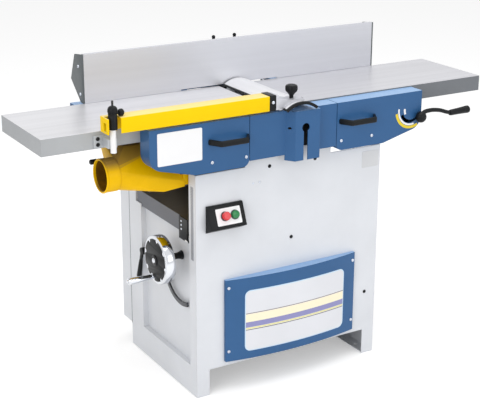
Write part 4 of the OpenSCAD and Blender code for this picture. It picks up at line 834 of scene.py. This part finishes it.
# rounder copies of the moulded and bent pieces
softParts = [("left_handle", "leftHandleSoft", 4.2, 4, "mouldedBlack", "outfeed_wing", "black_plastic"),
             ("right_handle", "rightHandleSoft", 4.2, 4, "mouldedBlack", "infeed_wing", "black_plastic"),
             ("guard_arm", "guardArmSoft", 2.8, 3, "guardYellow", "guard_arm", "guard_yellow"),
             ("crank_grip", "crankGripSoft", 1.0, 2, "chromeBright", "crank_grip", "chrome"),
             ("lock_lever", "lockLeverSoft", 1.2, 2, "leverSteel", "lock_lever", "chrome"),
             ("feed_lever", "feedLeverSoft", 2.2, 3, "mouldedBlack", "feed_lever", "black_plastic"),
             ("fence_ends", "fenceEndsSoft", 1.4, 2, "endPlateGrey", "fence", "dark_plastic"),
             ("fence_levers", "fenceLeversSoft", 0.8, 2, "mouldedBlack", "fence_levers", "black_plastic")]
for row in softParts:
    softCopy(*row)
print("rounded copies:", len(softParts))

# handwheel: crowned chrome rim on a web, with a flange behind the notches of the black disc over it
wheel = {"y": -108, "z": 436, "mid": -378, "face": -396.4, "disc": 67, "reach": 66, "turn": 10, "scallops": 8,
         "notch": 7.4, "crank": (-85.4, 374), "gap": 12.5, "seat": -394.2, "back": -395.2, "cut": (-390, -405)}
wheelMid, wheelFace = ((wheel[k], wheel["y"], wheel["z"]) for k in ("mid", "face"))


def wheelDrum(name, radius, fromX, toX, spot, sides):
    return addDrum(name, radius, (fromX, *spot), (toX, *spot), sides)


rim = turnedPiece("wheelRim", [(65, -12), (66.4, -15.2), (69, -16), (73, -16), (75.8, -14.9), (77, -12.5),
                               (77.4, 0), (77, 12.5), (75.8, 14.9), (73, 16), (69, 16), (67.5, 17.1), (56, 17.1),
                               (55.5, 16.5), (55.5, 12.5), (65, 11.8), (65, -12)], wheelMid, toLeft, steps=80)
web = turnedPiece("wheelWeb", [(8, -16), (15.5, -16), (16.5, -14), (17, -6), (20, -4), (65.5, -4), (65.5, 0),
                               (8, 0), (8, -16)], wheelMid, toLeft, steps=64)
carve(rim, wheelDrum("crankSeat", wheel["gap"], wheel["seat"], wheel["cut"][1], wheel["crank"], 36))
pin = wheelDrum("crankPin", 5, -482, -374, wheel["crank"], 28)
softenEdges(pin, 1, 2)
rim = dress(joinAll([rim, web, pin], "wheelRim"), "chromeBright", "handwheel")
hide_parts("handwheel_rim")
disc = wheelDrum("wheelDisc", wheel["disc"], wheel["back"], wheel["face"], (wheel["y"], wheel["z"]), 90)
for i in range(wheel["scallops"]):
    a = math.radians(wheel["turn"] + i * 360 / wheel["scallops"])
    spot = (wheel["y"] + wheel["reach"] * math.cos(a), wheel["z"] + wheel["reach"] * math.sin(a))
    carve(disc, wheelDrum("scallop", wheel["notch"], *wheel["cut"], spot, 28))
carve(disc, wheelDrum("crankGap", wheel["gap"], *wheel["cut"], wheel["crank"], 36))
softenEdges(disc, 0.4, 2)
dress(disc, "mouldedBlack", "handwheel")
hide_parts("handwheel_disc")
hubCap = turnedPiece("wheelHubCap", [(0, 7.5), (5, 7), (8.5, 4.5), (9.5, -2), (0, -2)], wheelFace, toLeft, steps=32)
dress(hubCap, "chromeBright", "handwheel")
hubRing = turnedPiece("wheelHubRing", [(10.5, -1), (17.5, -1), (17, 2.2), (15, 3.2), (10.5, 3), (10.5, -1)],
                      wheelFace, toLeft)
dress(hubRing, "blackSteel", "handwheel")

# flange of the wheel's shaft on the panel, and the feed lever's tapered grip
flange = turnedPiece("shaftFlange", [(8.4, 0), (14.5, 0), (14.5, 2.8), (12.2, 4.2), (10.8, 12), (8.4, 12),
                                     (8.4, 0)], (-302, wheel["y"], wheel["z"]), toLeft)
dress(flange, "blackSteel", "frame")
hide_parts("shaft_flange")
lean = math.radians(15)
feedGrip = turnedPiece("feedGrip", [(0, 34), (5.6, 34), (6.4, 38), (8.4, 88), (8.6, 98), (6.4, 104.5), (0, 105.5)],
                       (-331, 116, 378), (0, math.sin(lean), -math.cos(lean)), steps=28)
dress(feedGrip, "mouldedBlack", "feed_lever")

# lift scale on the front post, pointer screws and its pale tip
liftScale = addBlock("liftScale", (-320.8, -218, 456), (-319.6, -203, 690))
roundCorners(liftScale, toLeft, 1.5, 3)
dress(liftScale, "scaleTicks", "frame")
setScrews("smallHead", "pointerScrews", "thickness_bed", [((-320.5, -142, z), toLeft) for z in (562, 549, 536)])
pointerTip = addBlock("pointerTip", (-321.3, -184, 503.4), (-320.2, -164, 508))
bevelEdges(pointerTip, lambda mid, way: abs(way.x) > 0.9 and mid.y < -180 and mid.z > 506, 4, 1)
dress(pointerTip, "plateWhite", "thickness_bed")
print("lift details set")

# dust hood: bead at the outlet's mouth, a dark sleeve in its bore as painted shade, latch and studs
outlet = (-583, -143, 747)
bead = turnedPiece("outletBead", [(46.2, 0), (49, -1.6), (51.2, 0.4), (51.6, 3), (50, 5.6), (49, 6.2), (46.2, 6.2),
                                  (46.2, 0)], outlet, toRight, steps=56)
dress(bead, "hoodYellow", "dust_hood")
# a dark brown sleeve inside the bore: painted shade where the tube's inside lies in shadow
boreShadeSleeve = turnedPiece("outletShadeSleeve", [(45, 6.2), (45.9, 6.2), (45.9, 41.5), (45, 41.5), (45, 6.2)],
                    outlet, toRight, steps=56)
dress(boreShadeSleeve, "outletBoreShade", "dust_hood")
latchRod = turnedPiece("hoodLatch", [(0, -47), (6, -46.5), (7.8, -44), (8, -26), (7, -24), (6.6, 0), (0, 0)],
                       (-545, -90, 776), toRight, steps=28)
latchFoot = softBlock("latchFoot", (-562, -100, 768), (-540, -85, 780), 3)
dress(joinAll([latchRod, latchFoot], "hoodLatch"), "mouldedBlack", "dust_hood")
studs = [spotOn("dust_hood", (x, y, 900), toFloor) for x, y in ((-488, -104), (-470, -80))]
setScrews("smallHex", "hoodStuds", "dust_hood", studs, "blackSteel")
print("hood details set")

# bridge guard: black end cap with its screw, post with its bracket, sleeve and knobs
endCap = softBlock("armEndCap", (-88, -270.5, 902.8), (-64, -217.6, 951), 3)
dress(endCap, "mouldedBlack", "guard_arm")
setScrews("panHead", "armEndScrew", "guard_arm", [((-76, -270.4, 930), toFront)])
post = {"x": -588, "y": -252, "foot": 850, "sleeve": 914, "knob": 962.3, "bore": 3.6}
postFoot, sleeveFoot, knobFoot = ((post["x"], post["y"], post[k]) for k in ("foot", "sleeve", "knob"))
bore = post["bore"]
tube = turnedPiece("postTube", [(0, -4), (7.8, -4), (8.6, -3.2), (8.6, 63.2), (8, 63.7), (3.2, 63.7), (3.2, 145.2),
                                (2.6, 146), (0, 146)], postFoot, toTop, steps=36)
dress(tube, "postTube", "outfeed_wing")
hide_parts("guard_post")
plate = addBlock("postPlate", (-628, -207, 852), (-570, -203.2, 889))
roundCorners(plate, toFront, 3, 3)
block = softBlock("postBlock", (-602, -247, 857), (-573, -205, 885), 3)
dress(joinAll([plate, block], "postBracket"), "bracketGrey", "outfeed_wing")
bolts = [((-615, -207, z), toFront) for z in (862, 879)]
setScrews("smallHex", "postBracketBolts", "outfeed_wing", bolts, "blackSteel")
sleeve = turnedPiece("guardSleeve", [(bore, 0), (12.2, 0), (13.2, 1.2), (13.2, 39.5), (12.7, 40.5), (12.7, 42),
                                     (13.2, 43), (13.2, 47), (12.4, 48), (bore, 48), (bore, 0)], sleeveFoot, toTop)
lug = softBlock("sleeveLug", (-597, -243, 917), (-579, -235.6, 946), 1.5, 2)
sleeve = dress(joinAll([sleeve, lug], "guardSleeve"), "mouldedBlack", "guard_arm")
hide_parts("guard_sleeve")


# upright grip grooves about a knob's axis
def cutGrooves(knob, axis, reach, radius, low, high, turn, count=8):
    for i in range(count):
        a = math.radians(360 / count * i + turn)
        x, y = axis[0] + reach * math.cos(a), axis[1] + reach * math.sin(a)
        carve(knob, addDrum("knobGroove", radius, (x, y, low), (x, y, high), 20))


dome = turnedPiece("guardPostKnob", [(bore, 0), (12.6, 0), (14.2, 1), (14.6, 4), (14, 10), (11.8, 15), (8, 18),
                                     (4.8, 19), (bore, 19), (bore, 0)], knobFoot, toTop)
cutGrooves(dome, knobFoot, reach=16.3, radius=2.8, low=960, high=976, turn=20)
softenEdges(dome, 0.6, 2)
dress(dome, "mouldedBlack", "guard_post_knob")
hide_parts("guard_post_knob")
clampBall = turnedPiece("sleeveClamp", [(0, -3), (4, -3), (4, 4), (8.5, 6), (10.5, 11), (10, 17), (6.5, 20.5),
                                        (0, 21.5)], (-575.5, post["y"], 960), toRight, steps=28)
dress(clampBall, "mouldedBlack", "guard_arm")
clampFoot = (4, -245, 922.3)
knob = turnedPiece("guardKnob", [(0, 0), (6.4, 0), (6.4, 14), (8, 17.5), (12, 22.5), (17.5, 28), (19.2, 33),
                                 (19.2, 41), (17.2, 45.5), (12, 47.8), (9.8, 47), (0, 47)],
                   clampFoot, toTop, steps=48)
cutGrooves(knob, clampFoot, reach=21.2, radius=4, low=clampFoot[2] + 24, high=clampFoot[2] + 52, turn=11)
softenEdges(knob, 0.7, 2)
dress(knob, "mouldedBlack", "guard_knob")
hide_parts("guard_knob")

# the bridge's slide clip, front lip and edge trim
clip = softBlock("carrierClip", (25, -250, 916), (45, -237, 925.5), 2)
dress(clip, "mouldedBlack", "guard_bridge")
bridge = {"x": 14, "y": -293, "z": 839.1, "lip": 7, "trim": 906.5, "half": 40.4, "spread": 1.022}
half = math.radians(bridge["half"])
lip = turnedPiece("bridgeLip", [(77.8, 0), (86.8, 0), (86.8, 6.4), (85.8, 7.6), (78.8, 7.6), (77.8, 6.4),
                                (77.8, 0)], (bridge["x"], bridge["y"] + bridge["lip"], bridge["z"]),
                  toFront, sweep=2 * bridge["half"], start=(math.sin(half), 0, math.cos(half)))
capEnds(lip)
dress(lip, "mouldedBlack", "guard_bridge")
trim = mergedCopy("guard_bridge", "bridgeTrim")
carve(trim, addBlock("trimMask", (-60, -285, 895), (90, 93, bridge["trim"])), "INTERSECT")
startEdit(trim)
bpy.ops.transform.resize(value=(bridge["spread"], 1, 1), center_override=mm(bridge["x"], bridge["y"], bridge["z"]))
endEdit()
dress(trim, "mouldedBlack", "guard_bridge")
print("guard details set")

# blue top of the centre cover below the bridge
slabs = [addBlock("coverTop", (-4, -286, 892.4), (80, -262, 894.4)),
         addBlock("coverTopBack", (-24, -262.5, 892.4), (80, -206, 894.4))]
for slab in slabs:
    roundCorners(slab, toTop, 3, 3)
dress(joinAll(slabs, "coverTop"), "beamBlue", "frame")

# fence: screws on both end plates
fenceSpots = [spotOn("fenceEndsSoft", (x, y, z), way) for x, way in ((-700, toRight), (750, toLeft))
              for y, z in ((126, 1012), (116, 928))]
setScrews("panHead", "fenceEndScrews", "fence", fenceSpots)

# dark joint where the rear cover meets the cabinet
seams = [softBlock("coverSeam", (x0, 227, 76), (x1, 229, 600), 0.3, 1)
         for x0, x1 in ((-320.5, -319.7), (355.7, 356.5))]
dress(joinAll(seams, "rearCoverSeams"), "shadowGrey", "frame")

# back of the machine: cover screws, hinge bolts and side screws
backSpots = [spotOn("rear_cover", (x, 700, z), toFront) for x in (-290, 18, 326) for z in (96, 580)]
setScrews("panHead", "rearCoverScrews", "frame", backSpots)
hingeSpots = [spotOn("hinge_brackets", (x + way * 38, 262, 850), (-way, 0, 0))
              for x in (-290, -205, 236, 326) for way in (-1, 1)]
setScrews("hexBolt", "hingeBolts", "frame", hingeSpots)
sideSpots = [spotOn("cabinet_right", (700, y, z), toLeft) for y in (-205, 205) for z in (60, 400, 700)]
setScrews("panHead", "rightSideScrews", "frame", sideSpots)
for master in screwKinds.values():
    bpy.data.objects.remove(master)
print("back and side screws set")
